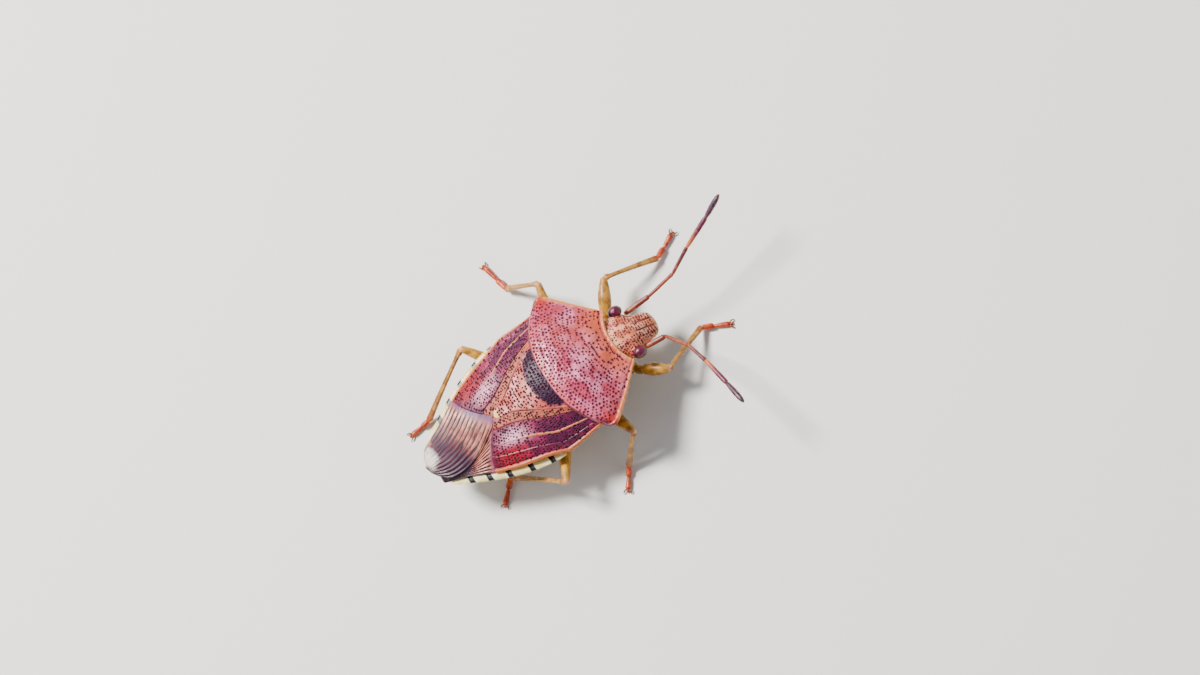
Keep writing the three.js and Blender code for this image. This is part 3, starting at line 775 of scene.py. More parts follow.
# %% The wings' finish
def wing_paint(b):
    colour = b.blend(b.noise(2.0, 4.0).step(0.38, 0.64), "560c34", "9c2450")
    pale = b.u.near(0.42, 0.26) * b.v.near(0.74, 0.26)
    colour = b.blend(pale, colour, "f0a8c4")
    crimson = b.u.step(0.5, 0.7) * b.v.step(0.56, 0.78)
    colour = b.blend(crimson, colour, "94001c")
    colour = b.blend(b.v.step(0.88, 0.98) * 0.7, colour, "40042c")
    middle = b.u.near(0.5, 0.4) * b.v.step(0.66, 0.4)
    colour = b.blend(middle * 0.8, colour, "440c3c")
    colour = b.blend(b.u.step(SEAM_U + 0.02, SEAM_U - 0.02) * 0.6, colour, "c86e48")
    main_vein = (b.u - 0.6 + b.v * 0.14).size().step(0.035, 0.012)
    colour = b.blend(main_vein * b.v.step(0.75, 0.5), colour, "d87a48")
    colour = b.blend(b.u.near(SEAM_U, 0.016), colour, "4a0c1c")
    colour = b.blend(b.u.step(0.925, 0.95), colour, "cf6a24")
    colour = b.blend(b.noise(16.0, 3.0).step(0.5, 0.7) * 0.5, colour, "5c1230")
    return b.dotted(colour, "30061e")


SIDES = {"left": 1, "right": -1}
wing_cuticle = finish("wing_cuticle", wing_paint, gloss=0.3, pits=True,
                      relief=shell_relief, relief_mm=0.03)
for name, side in SIDES.items():
    wing = laid(f"wing_{name}_shell", columns=180, rows=300, place=wing_place, side=side)
    pits = scattered(wing_place, wing_pits, spacing=0.098, spread=0.3, seed=20 + side,
                     size=(1.95, 3.6))
    pitted(wing, pits * (side, 1, 1), radius=0.032, depth=0.026)
    walled(wing, drop=0.06, tuck=0.03)
    fitted(wing, wing_cuticle, f"wing_{name}")
print("wings:", len(wing.data.polygons), "faces each")

# %% [markdown]
# Behind the leather the wings are thin, smoky skins with dark veins that run toward the tail.
# The left one lies over the right one. They could be see-through sheets, but lying on each other
# and on the dark back they look solid, so each is a closed sheet with fine folds, tucked under
# the leather's rear edge.

# %% The membranes' form
TAIL_Y = 5.88
CROSSING_Y = (3.2, 5.8)
TUCK = 0.12
VEIN_WAVES = 72
crossing = profile([
    (3.2, 0.04), (3.6, 0.3), (4.2, 0.62), (4.8, 0.74), (5.3, 0.68), (5.6, 0.46), (5.8, 0.16),
])


def membrane_sheet(inner_x, start_y, end_y, end_outer_y, drop):
    corner_x = wing_margin(CORNER_Y) - 0.01

    def place(u, v):
        outer_y = mix(CORNER_Y - TUCK, end_outer_y, v)
        inner = inner_x(v)
        outer = np.maximum(wing_margin(outer_y) - 0.02, inner + 0.05)
        start_x = mix(inner_x(0.0), corner_x, u)
        bend = leather_rear(np.abs(start_x)) - TUCK - mix(start_y, CORNER_Y - TUCK, u)
        x = mix(inner, outer, u)
        y = mix(mix(start_y, end_y, v), outer_y, u) + bend * (1 - v) ** 2
        folds = 0.012 * np.sin(VEIN_WAVES * u + 2 * np.sin(3 * v)) * soft_step(v, 0.05, 0.3)
        z = back_top(x, y) - drop + folds - 0.04 * soft_step(v, 0.93, 1.0)
        return x, y, z + 0.012 * bump(u, 0.02, 0.03)

    return place


upper_sheet = membrane_sheet(
    lambda v: -crossing(mix(*CROSSING_Y, v)), 3.1, CROSSING_Y[1], TAIL_Y, 0.03)
lower_sheet = membrane_sheet(
    lambda v: crossing(mix(*CROSSING_Y, 0.93 * v)) - 0.1, 3.15, 5.62, 5.64, 0.06)
print("the wings end at y =", TAIL_Y, "mm")

# %% [markdown]
# The veins are dark streaks that follow the folds. Straight stripes would look printed, so noise
# makes them wander and break. Toward the tail the skin darkens, and its tip is nearly white. On
# the right side, away from the main lamp, painted shade darkens the rear further.

# %% The membranes' finish
def membrane_paint(b):
    bend = (b.v * 3.0).math("SINE") * 2.0
    wander = b.noise(1.0, 3.0, (7.0, 3.0, 1.0), own_map=True) * 8.0
    streak = (b.u * float(VEIN_WAVES) + bend + wander).math("SINE")
    colour = b.blend(b.noise(2.5, 3.0).step(0.35, 0.7), "843c34", "d0806c")
    colour = b.blend(b.v.step(0.3, 0.62) * 0.9, colour, "3c0834")
    veins = streak.step(-0.1, 0.5) * b.v.step(0.06, 0.16)
    veins = veins * b.noise(2.6, 3.0).step(0.3, 0.44)
    colour = b.blend(veins * 0.95, colour, "1c0418")
    colour = b.blend(b.v.step(0.15, 0.05) * 0.8, colour, "54306c")
    # Painted shade: the rear of the right side, away from the main lamp, is darkened
    right_side_painted_shade = (b.x + b.y * 0.35).step(1.8, 1.1) * b.v.step(0.35, 0.65)
    colour = b.blend(right_side_painted_shade * 0.8, colour, "280624")
    blush = (b.x - b.y * 0.1).near(0.35, 0.45) * b.v.step(0.55, 0.75)
    blush = blush * b.noise(3.5, 2.0).step(0.45, 0.6)
    colour = b.blend(blush * 0.8, colour, "e09878")
    tail = (b.x - 0.24) * (b.x - 0.24) * 4.6 + (b.y - 5.6) * (b.y - 5.6) * 7.5
    pale = (tail + b.noise(5.0, 3.0) * 1.6).step(1.75, 0.75)
    return b.blend(pale * 0.9, colour, "f2e6dc")


def membrane_relief(b):
    return b.noise(1.0, 4.0, (30.0, 6.0, 1.0), own_map=True)


membrane_skin = finish("membrane_skin", membrane_paint, roughness=0.34, coat=0.3,
                       relief=membrane_relief, relief_mm=0.02)
for name, place in (("left", upper_sheet), ("right", lower_sheet)):
    membrane = laid(f"membrane_{name}_skin", columns=90, rows=90, place=place, side=SIDES[name])
    walled(membrane, drop=0.02, tuck=0.02)
    fitted(membrane, membrane_skin, f"membrane_{name}")
print("membranes laid")

# %% [markdown]
# The rim of the abdomen shows outside the wings as a cream band with black bars where two
# segments meet. Every bar sits in a shallow notch. The bars could be pieces of their own, but on
# the insect they are only colour, so they are painted on one rolled band, which runs on under the
# wings.

# %% Banded rim
RIM_Y = (1.85, 5.42)
BARS = (2.32, 3.0, 3.7, 4.3, 4.84)
BAR_REACH = 0.15
LEFT_BAR_SHIFT = 0.15


def rim_place(u, v):
    y = mix(*RIM_Y, v)
    notch = sum(bump(y, bar, 0.07) for bar in BARS)
    around = (2 * u - 0.5) * math.pi
    inner = wing_margin(y) - 0.12
    outer = half_width(y) - 0.012 * notch
    middle, reach = (inner + outer) / 2, (outer - inner) / 2
    height = 0.07 * np.sqrt(bump(v, 0.5, 0.503)) + 0.004
    x = middle + np.sign(np.cos(around)) * np.abs(np.cos(around)) ** 0.7 * reach
    z = edge_height(y) - 0.10 + np.sin(around) * height - 0.015 * notch
    return x, y, z


def rim_paint(b):
    colour = b.blend(b.noise(3.0, 3.0).step(0.4, 0.7), "e0cc80", "f4e8b4")
    along = b.y + b.x.step(-0.1, 0.1) * LEFT_BAR_SHIFT
    bars = strongest([along.near(bar, BAR_REACH).step(0.25, 0.5) for bar in BARS])
    return b.blend(bars, colour, "0c0812")


rim_cuticle = finish("rim_cuticle", rim_paint, roughness=0.4)
for name, side in SIDES.items():
    rim = laid(f"rim_{name}_band", columns=24, rows=200, place=rim_place, side=side, rolled=True)
    bpy.ops.object.mode_set(mode="EDIT")
    bpy.ops.mesh.select_all(action="SELECT")
    bpy.ops.mesh.fill_holes(sides=0)
    bpy.ops.mesh.normals_make_consistent(inside=False)
    bpy.ops.object.mode_set(mode="OBJECT")
    fitted(rim, rim_cuticle, f"rim_{name}")
print("rims laid with", len(BARS), "bars each")

# %% [markdown]
# Under the wings lies the body. The belly's plates are parted by fine grooves. They could be
# separate rings, but on this bug they hardly move, so the body is two rolled forms, thorax and
# abdomen, cut from one set of stations. They overlap at the waist, so that no gap shows there.

# %% The body's form
body_half = profile([
    (-1.4, 0.84), (-0.9, 1.42), (-0.4, 1.94), (0, 2.16), (0.5, 2.1), (1, 2.06), (1.6, 2.08),
    (2.3, 2.05), (3, 1.9), (3.73, 1.63), (4.3, 1.35), (4.8, 1.06), (5.2, 0.78), (5.5, 0.48),
])
body_ridge = profile([
    (-1.4, 1.72), (-0.9, 1.96), (-0.4, 2.22), (0, 2.36), (0.6, 2.45), (1, 2.43), (1.5, 2.34),
    (2, 2.22), (2.5, 2.07), (3.1, 1.88), (3.6, 1.78), (4.3, 1.68), (5, 1.56), (5.5, 1.5),
])
belly_ridge = profile([
    (-1.4, 1.15), (-0.9, 0.97), (0, 0.86), (1, 0.8), (1.9, 0.74), (2.8, 0.72), (3.8, 0.84),
    (4.8, 1.05), (5.2, 1.16), (5.5, 1.26),
])
EDGE_DROP = 0.19
WAIST_Y = 1.62


def rolled_across(u):
    """Goes from the left edge over the top to the right edge and back underneath."""
    return np.abs(4 * u - 2) - 1


def body_form(first_y, last_y, grooves):
    def place(u, v):
        y = mix(first_y, last_y, v)
        near_end = np.clip(np.minimum(v, 1 - v) / 0.05, 0, 1)
        close = np.sqrt(1 - (1 - near_end) ** 2)
        across = rolled_across(u)
        side = edge_height(y) - EDGE_DROP
        goal = np.where(u < 0.5, body_ridge(y), belly_ridge(y))
        lift = (1 - np.abs(across) ** 2.1) * close
        groove = sum(bump(y, line, 0.035) for line in grooves)
        z = mix(side, goal, lift * (1 - 0.035 * groove))
        return across * body_half(y) * close, y, z

    return place


def body_pits(u, v):
    low_side = (u > 0.48) * (v > 0.04) * (v < 0.96)
    return low_side * (0.3 + 0.5 * np.abs(rolled_across(u)))


print("the belly hangs to z =", round(float(belly_ridge(2.8)), 2), "mm")

# %% [markdown]
# The underside is straw-coloured with dark dots. A dark line marks each groove and a small ring
# each breathing hole. The rings could be modelled, but each is only a thin, flat line, so they
# are drawn as circles round places that are worked out from the grooves.

# %% The body's finish
HOLE_BEFORE_GROOVE = 0.34
HOLE_NARROWING = 160.0


def body_paint(b):
    colour = b.blend(b.noise(2.2, 4.0).step(0.38, 0.66), "94783a", "c0a860")
    colour = b.blend(b.x.size().step(0.7, 1.7) * 0.5, colour, "b87c4c")
    beside = b.x.size() + b.y * 0.3 - 2.42
    marks = []
    for line in BARS:
        before = b.y - line + HOLE_BEFORE_GROOVE
        hole = before * before * HOLE_NARROWING + beside * beside * HOLE_NARROWING
        marks += [(b.y - line).size().step(0.05, 0.015), hole.near(1.0, 0.7) * b.y.step(2.0, 2.2)]
    colour = b.blend(strongest(marks) * b.y.step(1.7, 1.9) * 0.8, colour, "3c2a1e")
    seams = (b.y + 0.62).size().math("MINIMUM", (b.y - 0.5).size()).step(0.05, 0.015)
    colour = b.blend(seams * 0.7, colour, "3c2a1e")
    colour = b.blend(b.x.size().step(0.35, 0.1) * 0.4, colour, "8c9a58")
    return b.dotted(colour, "201812")


body_cuticle = finish("body_cuticle", body_paint, pits=True)
for name, ends, grooves, seed in (
    ("thorax", (-1.45, WAIST_Y + 0.16), (-0.62, 0.5), 31),
    ("abdomen", (WAIST_Y - 0.14, 5.5), BARS, 32),
):
    place = body_form(*ends, grooves)
    body = laid(f"{name}_form", columns=300, rows=230, place=place, rolled=True)
    pits = scattered(place, body_pits, spacing=0.14, spread=0.8, seed=seed,
                     size=(8.4, ends[1] - ends[0]))
    pitted(body, pits, radius=0.034, depth=0.02)
    fitted(body, body_cuticle, name)
print("thorax and abdomen overlap round y =", WAIST_Y, "mm")

# %% [markdown]
# The head is a blunt wedge. Two fine grooves part its middle lobe from the side lobes, and rows
# of pits run back from the tip. A subdivided box could be pushed to this shape, but the grooves
# would need many cuts, so it is a rolled grid with the grooves in its formula.

# %% Head
HEAD_Y = (-2.67, -1.12)
head_half = profile([
    (-2.66, 0.26), (-2.58, 0.36), (-2.46, 0.44), (-2.3, 0.49), (-2.1, 0.53), (-1.96, 0.6),
    (-1.8, 0.79), (-1.6, 0.8), (-1.4, 0.74), (-1.12, 0.66),
])
head_top = profile([
    (-2.66, 1.42), (-2.56, 1.5), (-2.3, 1.74), (-2, 1.98), (-1.75, 2.1), (-1.5, 2.17),
    (-1.3, 2.2), (-1.12, 2.22),
])
head_under = profile([(-2.66, 1.24), (-2.5, 1.14), (-2.1, 1.1), (-1.5, 1.22), (-1.3, 1.25)])


def head_place(u, v):
    y = mix(*HEAD_Y, v)
    near_end = np.clip(np.minimum(v / 0.06, (1 - v) / 0.08), 0, 1)
    close = np.sqrt(1 - (1 - near_end) ** 2)
    across = rolled_across(u)
    upper = u < 0.5
    side = mix(head_under(y), head_top(y), 0.45 + 0.3 * bump(y, -1.75, 0.4))
    goal = np.where(upper, head_top(y), head_under(y))
    z = mix(side, goal, (1 - np.abs(across) ** 2.4) ** 0.75 * close)
    x = across * head_half(y) * close
    lobe = mix(0.11, 0.15, soft_step(y, -2.6, -2.2))
    groove = bump(np.abs(x), lobe, 0.035) * soft_step(y, -1.95, -2.1) * upper
    relief = 0.02 * bump(x, 0, 0.13) * soft_step(y, -1.9, -2.2) * upper - 0.03 * groove
    relief = relief - 0.02 * bump(np.abs(x), 0.42, 0.16) * bump(y, -1.95, 0.25) * upper
    return x, y, z + relief * (1 - np.abs(across) ** 4)


def head_pits(u, v):
    clear_of_groove = np.abs(np.abs(rolled_across(u)) - 0.25) > 0.07
    return (u < 0.48) * (v > 0.05) * clear_of_groove


def head_paint(b):
    colour = b.blend(b.noise(3.0, 4.0).step(0.4, 0.66), "cc6848", "f4a888")
    colour = b.blend(b.y.step(-2.3, -2.6) * 0.6, colour, "c4703a")
    band = b.x.size().near(0.4, 0.12) * b.y.step(-2.0, -1.7) * 0.5
    colour = b.blend(band, colour, "963038")
    stripes = b.x.size().near(0.13, 0.06).math("MAXIMUM", b.x.size().near(0.33, 0.04) * 0.7)
    stripes = stripes * b.y.step(-1.9, -2.1) * b.z.step(1.3, 1.5)
    colour = b.blend(stripes, colour, "4e1020")
    colour = b.blend(b.z.step(1.5, 1.3), colour, "b9a468")
    return b.dotted(colour, "4a0c1e")


head = laid("head_form", columns=200, rows=170, place=head_place, rolled=True)
pits = scattered(head_place, head_pits, spacing=0.095, spread=0.45, seed=41, size=(3.6, 1.9))
pitted(head, pits, radius=0.028, depth=0.022)
fitted(head, finish("head_cuticle", head_paint, pits=True), "head")
print("head:", len(head.data.polygons), "faces")

# %% [markdown]
# A compound eye is a dark red ball of tiny lenses, and two shiny simple eyes sit behind it on the
# head. A plain sphere would look like a bead, so the ball carries a fine lens pattern in its
# mesh, and the lenses too small for that are cells in its finish.

# %% Eyes
LENSES_PER_MM = 30.0


def ball(name, centre, radii, facets=0.0, columns=40, rows=24):
    """A rolled ball. Facets raise a fine lens pattern on it."""
    def place(u, v):
        around, down = 2 * math.pi * u, math.pi * v
        lens = 1 + facets * np.cos(columns / 4 * around) * np.cos(rows / 2 * down) * np.sin(down)
        return (
            centre[0] + radii[0] * np.sin(down) * np.cos(around) * lens,
            centre[1] + radii[1] * np.sin(down) * np.sin(around) * lens,
            centre[2] + radii[2] * np.cos(down) * lens,
        )

    return laid(name, columns, rows, place, rolled=True)


def eye_paint(b):
    colour = b.blend(b.noise(5.0, 2.0).step(0.35, 0.62), "2c0418", "780c38")
    border = b.cells(LENSES_PER_MM).step(0.3, 0.6)
    return b.blend(border * 0.6, colour, "160210")


def eye_relief(b):
    """Rounded lenses, each one cell of the pattern."""
    return b.cells(LENSES_PER_MM) * -1.0


def ocellus_paint(b):
    return b.blend(b.noise(9.0, 1.0).step(0.4, 0.6), "7c0c28", "a81c40")


eye_lens = finish("eye_lens", eye_paint, roughness=0.3, coat=0.4,
                  relief=eye_relief, relief_mm=0.012)
ocellus_lens = finish("ocellus_lens", ocellus_paint, roughness=0.14, coat=1.0)
for name, side in SIDES.items():
    eye = ball(f"eye_{name}_lens", centre=(side * 0.77, -1.79, 1.92), radii=(0.19, 0.23, 0.21),
               facets=0.02, columns=56, rows=40)
    fitted(eye, eye_lens, f"eye_{name}")
    ocellus = ball(f"ocellus_{name}", centre=(side * 0.33, -1.6, 2.1), radii=(0.06, 0.06, 0.055))
    fitted(ocellus, ocellus_lens)
print("two eyes and two simple eyes")

# %% [markdown]
# Legs and feelers are all made of joints that are round, slightly bowed and thicker in some
# places. A cylinder scaled ring by ring would do for one, but there are over sixty. So one
# function rolls a grid along a bowed line, with a radius for each place on it and rounded ends.

# %% The limb form
def limb_form(start, end, radii, bow=(0, 0, 0), squash=1.0, groove=0.0):
    """A place function for a joint. squash makes it taller, and groove cuts a furrow on top."""
    start, end, bow = (np.array(point, dtype=float) for point in (start, end, bow))
    length = np.linalg.norm(end - start)
    forward = (end - start) / length
    aside = np.cross((0.0, 0.0, 1.0), forward)
    aside /= np.linalg.norm(aside)
    upward = np.cross(forward, aside)
    radius = profile(radii)

    def place(u, v):
        t = 0.5 - 0.5 * np.cos(math.pi * v)
        near_end = np.minimum(t * length / radius(0), (1 - t) * length / radius(1))
        close = np.sqrt(1 - (1 - np.clip(near_end, 0, 1)) ** 2)
        around = 2 * math.pi * u
        r = radius(t) * close * (1 - groove * bump(np.sin(around), 1, 0.12))
        points = start + t[:, None] * (end - start) + np.sin(math.pi * t)[:, None] * bow
        points = points + (r * np.cos(around))[:, None] * aside
        points = points + (r * squash * np.sin(around))[:, None] * upward
        return points.T

    return place


def limb(name, start, end, radii, columns=28, rows=64, **shape):
    return laid(name, columns, rows, limb_form(start, end, radii, **shape), rolled=True)


print("a limb can be made")

# %% [markdown]
# Shins and feelers are covered with short bristles, which catch the light at their edges. A
# particle system could grow them, but its hairs aren't a mesh until they are converted. One thin
# cone is modelled instead and copied, and each copy leans toward the limb's tip.

# %% Hairs
HAIR_RADIUS = 0.006
HAIR_SUNK = 0.1  # the share of a hair's length that lies in the skin


def hairs(name, place, count, length, seed):
    """Fine hairs on a limb's form, as one mesh."""
    random = np.random.RandomState(seed)
    u, v = random.rand(count), 0.04 + 0.92 * random.rand(count)
    foot = place(u, v).T
    outward = foot - place(u + 0.5, v).T
    outward /= np.linalg.norm(outward, axis=1)[:, None]
    onward = place(u, v + 0.02).T - foot
    onward /= np.linalg.norm(onward, axis=1)[:, None]
    lean = outward + 0.9 * onward + 0.3 * (random.rand(count, 3) - 0.5)
    lean /= np.linalg.norm(lean, axis=1)[:, None]
    reach = length * (0.6 + 0.6 * random.rand(count))
    bpy.ops.object.select_all(action="DESELECT")
    bpy.ops.mesh.primitive_cone_add(vertices=3, radius1=HAIR_RADIUS, radius2=0, depth=1)
    first = bpy.context.object
    shape = points_of(first)
    strands = []
    for i in range(count):
        strand = first if i == 0 else first.copy()
        if i > 0:
            strand.data = first.data.copy()
            bpy.context.collection.objects.link(strand)
        turned = np.array(Vector(lean[i]).to_track_quat("Z", "Y").to_matrix())
        local = shape * (1, 1, reach[i]) + (0, 0, (0.5 - HAIR_SUNK) * reach[i])
        strands.append((strand, in_frame(foot[i] + local @ turned.T)))
    for strand, points in strands:
        move_points(strand, points)
        strand.select_set(True)
    bpy.context.view_layer.objects.active = first
    bpy.ops.object.join()
    first.name = name
    bpy.ops.object.shade_smooth()
    return first


def hair_paint(b):
    return b.blend(b.noise(8.0, 2.0).step(0.4, 0.6), "7c4c24", "c89454")


hair_finish = finish("fine_hair", hair_paint, roughness=0.5, coat=0.0, inner_glow=0.0)
print("hairs can be made")

# %% [markdown]
# The femora are olive, the shins pale brown and the feet rusty red, each a little cloudy. One
# colour for the whole leg would be quicker, but the change from joint to joint is what makes
# these legs look alive.

# %% The legs' finishes
def femur_paint(b):
    colour = b.blend(b.noise(4.0, 4.0).step(0.38, 0.64), "8a5c14", "c08c2c")
    colour = b.blend(b.v.step(0.78, 0.97), colour, "cf9468")
    specks = b.noise(20.0, 2.0).step(0.62, 0.7)
    return b.blend(specks * 0.7, colour, "3a2a18")


def coxa_paint(b):
    colour = b.blend(b.noise(4.0, 4.0).step(0.38, 0.64), "8a6c2c", "b8984c")
    return b.blend(b.noise(18.0, 2.0).step(0.6, 0.68) * 0.8, colour, "2c1c10")


def tibia_paint(b):
    colour = b.blend(b.noise(5.0, 4.0).step(0.38, 0.64), "8a5c28", "b8843c")
    colour = b.blend(b.v.step(0.16, 0.04), colour, "c48058")
    return b.blend(b.v.step(0.7, 0.95), colour, "ac4010")


def foot_paint(b):
    colour = b.blend(b.noise(6.0, 3.0).step(0.4, 0.66), "98280c", "cf5818")
    return b.blend(b.v.step(0.55, 1.0) * 0.6, colour, "5c0c14")


def claw_paint(b):
    return b.blend(b.v.step(0.3, 0.8), "8a4a28", "140f12")


leg_finish = {
    "coxa": finish("coxa_cuticle", coxa_paint),
    "femur": finish("femur_cuticle", femur_paint),
    "tibia": finish("tibia_cuticle", tibia_paint),
    "foot": finish("foot_cuticle", foot_paint),
    "claw": finish("claw_cuticle", claw_paint, roughness=0.25),
    "hair": hair_finish,
}
print("leg finishes:", list(leg_finish))

# %% [markdown]
# In this pose no two legs bend alike. One leg could be modelled and turned into place six times,
# but its lengths would be wrong for the others. So each leg has four points of its own, which are
# hip, knee, ankle and toe, measured in the photograph. The feet all stand at one height.

# %% Where the legs bend
LEGS = {
    "front_left": [(0.85, -1.2, 0.82), (2.15, -1.99, 1.15), (2.02, -3.66), (2.46, -4.44)],
    "front_right": [(-0.8, -1.25, 0.82), (-1.55, -2.2, 1.25), (-0.68, -3.66), (-1.08, -4.47)],
    "middle_left": [(0.95, 0.36, 0.74), (3.08, -0.19, 1.55), (4.0, 0.9), (5.06, 1.14)],
    "middle_right": [(-0.95, 0.32, 0.74), (-2.69, -0.25, 1.5), (-3.12, 0.6), (-3.7, 1.03)],
    "rear_left": [(0.9, 1.6, 0.68), (2.73, 2.95, 1.6), (1.83, 5.2), (1.78, 5.92)],
    "rear_right": [(-0.95, 1.56, 0.68), (-2.83, 2.36, 1.6), (-1.24, 3.95), (-1.85, 4.56)],
}
ROOT_SHIFT = {"front": (0.22, 0.08), "middle": (0.06, 0.06), "rear": (-0.3, 0.06)}
ANKLE_Z, INSTEP_Z, TOE_Z, CLAW_TIP_Z = 0.2, 0.11, 0.085, 0.02
print("ankles at", ANKLE_Z, "mm and toes at", TOE_Z, "mm")

# %% [markdown]
# Every leg has a short coxa in the body, a ring called the trochanter, a spindle-shaped femur, a
# long tibia and a foot of two joints with two curved claws and a pad under them. A leg could be
# one mesh with a skeleton, but an insect's leg is a row of stiff tubes, so each tube is a limb
# form that starts inside the one before it.

# %% Legs
FRONT_THICKER = 1.1
SHIN_HAIRS = 90


def dressed(piece, part, leg_name, stands_for=True):
    """Fits a piece of a leg, which stands for the leg's solid of that part or for none."""
    node = f"{part}_{leg_name}" if stands_for else None
    fitted(piece, leg_finish[part], node)


for leg_name, (hip, knee, ankle, toe) in LEGS.items():
    hip, knee = np.array(hip), np.array(knee)
    ankle, toe = np.array([*ankle, ANKLE_Z]), np.array([*toe, TOE_Z])
    shift = ROOT_SHIFT[leg_name.split("_")[0]]
    root = np.array([0.5 * hip[0], hip[1] + shift[0], hip[2] + shift[1]])
    thick = FRONT_THICKER if leg_name.startswith("front") else 1.0
    coxa = limb(f"coxa_{leg_name}_form", root, hip + (hip - root) * 0.15,
                [(0, 0.27), (0.6, 0.23), (1, 0.16)])
    dressed(coxa, "coxa", leg_name)
    along = (knee - hip) / np.linalg.norm(knee - hip)
    ring = limb(f"trochanter_{leg_name}", hip, hip + along * 0.36,
                [(0, 0.13), (0.5, 0.155), (1, 0.13)], rows=24)
    dressed(ring, "femur", leg_name, False)
    femur = limb(f"femur_{leg_name}_form", hip + along * 0.24, knee + along * 0.06,
                 [(0, 0.1 * thick), (0.2, 0.165 * thick), (0.45, 0.195 * thick),
                  (0.75, 0.155 * thick), (0.93, 0.115), (1, 0.11)], bow=(0, 0, 0.06))
    dressed(femur, "femur", leg_name)
    down = (ankle - knee) / np.linalg.norm(ankle - knee)
    shin = limb_form(knee, ankle + down * 0.04,
                     [(0, 0.09), (0.05, 0.105), (0.13, 0.075), (0.5, 0.08), (0.88, 0.1),
                      (1, 0.11)], bow=(0, 0, 0.05), groove=0.25)
    dressed(laid(f"tibia_{leg_name}_form", 28, 64, shin, rolled=True), "tibia", leg_name)
    bristles = hairs(f"hairs_{leg_name}", shin, SHIN_HAIRS, length=0.07, seed=51)
    dressed(bristles, "hair", leg_name, False)
    middle = mix(ankle, toe, 0.45)
    middle[2] = INSTEP_Z
    first = limb(f"foot_{leg_name}_first", ankle, middle, [(0, 0.075), (0.7, 0.1), (1, 0.09)])
    dressed(first, "foot", leg_name, False)
    ahead = (toe - middle) / np.linalg.norm(toe - middle)
    second = limb(f"foot_{leg_name}_second", middle - ahead * 0.03, toe,
                  [(0, 0.05), (0.3, 0.07), (0.85, 0.09), (1, 0.08)])
    dressed(second, "foot", leg_name)
    sideways = np.array([-ahead[1], ahead[0], 0.0])
    for which, way in (("inner", 1), ("outer", -1)):
        tip = toe + ahead * 0.15 + sideways * way * 0.13
        tip[2] = CLAW_TIP_Z
        base = toe - ahead * 0.02 + sideways * way * 0.035
        claw = limb(f"claw_{leg_name}_{which}", base, tip, [(0, 0.034), (0.5, 0.024), (1, 0.008)],
                    bow=tuple(sideways * way * 0.03 + (0, 0, 0.035)), columns=14, rows=24)
        dressed(claw, "claw", leg_name, False)
    pad = limb(f"pad_{leg_name}", toe, toe + ahead * 0.1 - (0, 0, 0.045),
               [(0, 0.05), (0.6, 0.045), (1, 0.035)], columns=16, rows=20)
    dressed(pad, "foot", leg_name, False)
print(len(LEGS), "legs")

# %% [markdown]
# The feelers have five joints each. Both could be mirror images, but in the photograph the left
# one points ahead and the right one to the side, so each has its own points. The last joint is a
# dark spindle.

# %% Where the feelers bend
FEELERS = {
    "left": [(0.66, -2.16, 1.56), (0.66, -2.95, 1.65), (0.75, -3.97, 1.9), (1.11, -4.81, 2.2),
             (1.47, -5.84, 2.5), (1.77, -6.58, 2.74)],
    "right": [(-0.64, -2.14, 1.56), (-0.72, -2.7, 1.65), (-1.49, -3.18, 2.0),
              (-2.3, -3.4, 2.2), (-3.35, -3.6, 2.4), (-4.22, -3.74, 2.6)],
}
FEELER_RADII = [
    [(0, 0.06), (0.2, 0.085), (0.85, 0.085), (1, 0.075)],
    [(0, 0.04), (0.1, 0.055), (0.85, 0.06), (1, 0.07)],
    [(0, 0.04), (0.1, 0.055), (0.85, 0.065), (1, 0.075)],
    [(0, 0.04), (0.12, 0.065), (0.8, 0.085), (1, 0.075)],
    [(0, 0.04), (0.15, 0.075), (0.6, 0.092), (0.85, 0.075), (1, 0.03)],
]
FEELER_COLOURS = [
    ("9a4828", "74241c"), ("7c2c1c", "8a3420"), ("8a3424", "5c1c28"), ("cf6420", "5c1434"),
    ("4c1c40", "301434"),
]
print("joints in a feeler:", len(FEELER_RADII))

# %% [markdown]
# Each joint starts with a narrow neck, so that it looks hinged in the one before. A curve with a
# bevel could make a whole feeler at once, but it would have no necks, so every joint is a limb
# form of its own, with a finish that darkens along it and a coat of very short hairs.

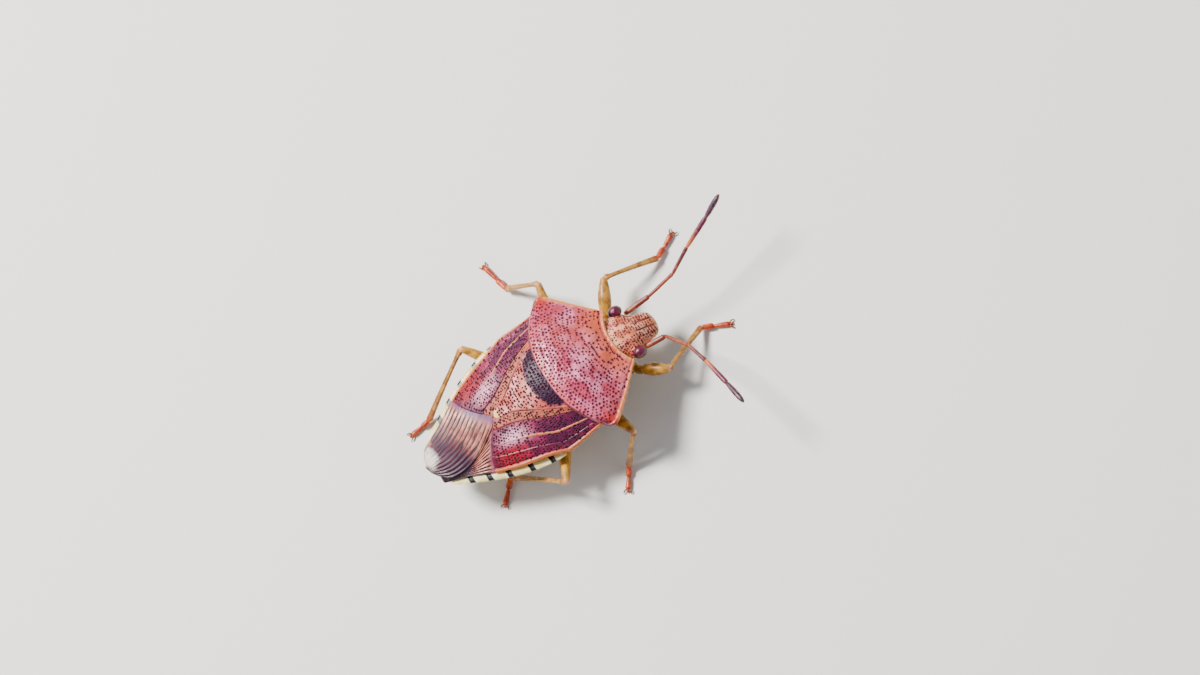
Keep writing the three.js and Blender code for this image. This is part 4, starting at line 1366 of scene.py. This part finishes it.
# %% Feelers
JOINT_OVERLAP = 0.05
FEELER_HAIRS = 50
feeler_finish = []
for i, (near_colour, far_colour) in enumerate(FEELER_COLOURS):
    def feeler_paint(b, near_colour=near_colour, far_colour=far_colour):
        colour = b.blend(b.v.step(0.15, 0.6), near_colour, far_colour)
        return b.blend(b.noise(9.0, 3.0).step(0.45, 0.7) * 0.3, colour, "b07858")

    feeler_finish.append(finish(f"feeler_{i + 1}_cuticle", feeler_paint))
for name, points in FEELERS.items():
    for i, radii in enumerate(FEELER_RADII):
        here, there = np.array(points[i]), np.array(points[i + 1])
        inward = (there - here) / np.linalg.norm(there - here) * JOINT_OVERLAP
        start = here - inward * (4 if i == 0 else 1)
        form = limb_form(start, there, radii)
        joint = laid(f"feeler_{name}_{i + 1}_form", 28, 64, form, rolled=True)
        fitted(joint, feeler_finish[i], f"feeler_{name}_{i + 1}")
        if i > 0:
            down = hairs(f"hairs_feeler_{name}_{i + 1}", form, FEELER_HAIRS, length=0.04,
                         seed=60 + i)
            fitted(down, hair_finish)

# %% [markdown]
# Underneath lie the sucking beak, the keel between the legs and the spine that points forward
# from the belly. They can't be seen in the photograph and follow what is usual for the insect.
# The keel and the roots of the beak and the spine sink into the body, because they grow from it.
# They could be pulled out of the body's own mesh, but the limb form gives their taper at once.

# %% Beak, keel and spine
BEAK_Y = (-2.42, -1.95, -1.55, -1.18, -0.86)
BEAK_Z = (1.06, 0.98, 0.91, 0.85, 0.8)
BEAK_RADIUS = (0.14, 0.12, 0.1, 0.085, 0.05)
for i in range(4):
    joint = limb(f"beak_{i + 1}", (0, BEAK_Y[i], BEAK_Z[i]), (0, BEAK_Y[i + 1], BEAK_Z[i + 1]),
                 [(0, BEAK_RADIUS[i]), (0.6, BEAK_RADIUS[i] * 0.95), (1, BEAK_RADIUS[i + 1])])
    fitted(joint, body_cuticle, "beak" if i == 0 else None)
keel = limb("keel_blade", (0, -0.78, 0.89), (0, 0.8, 0.75),
            [(0, 0.05), (0.4, 0.08), (1, 0.05)], squash=1.8)
spine = limb("belly_spine", (0, 1.9, 0.64), (0, 0.9, 0.62), [(0, 0.12), (0.5, 0.08), (1, 0.03)])
fitted(keel, body_cuticle, "keel")
fitted(spine, body_cuticle, "spine")
print("beak, keel and spine")
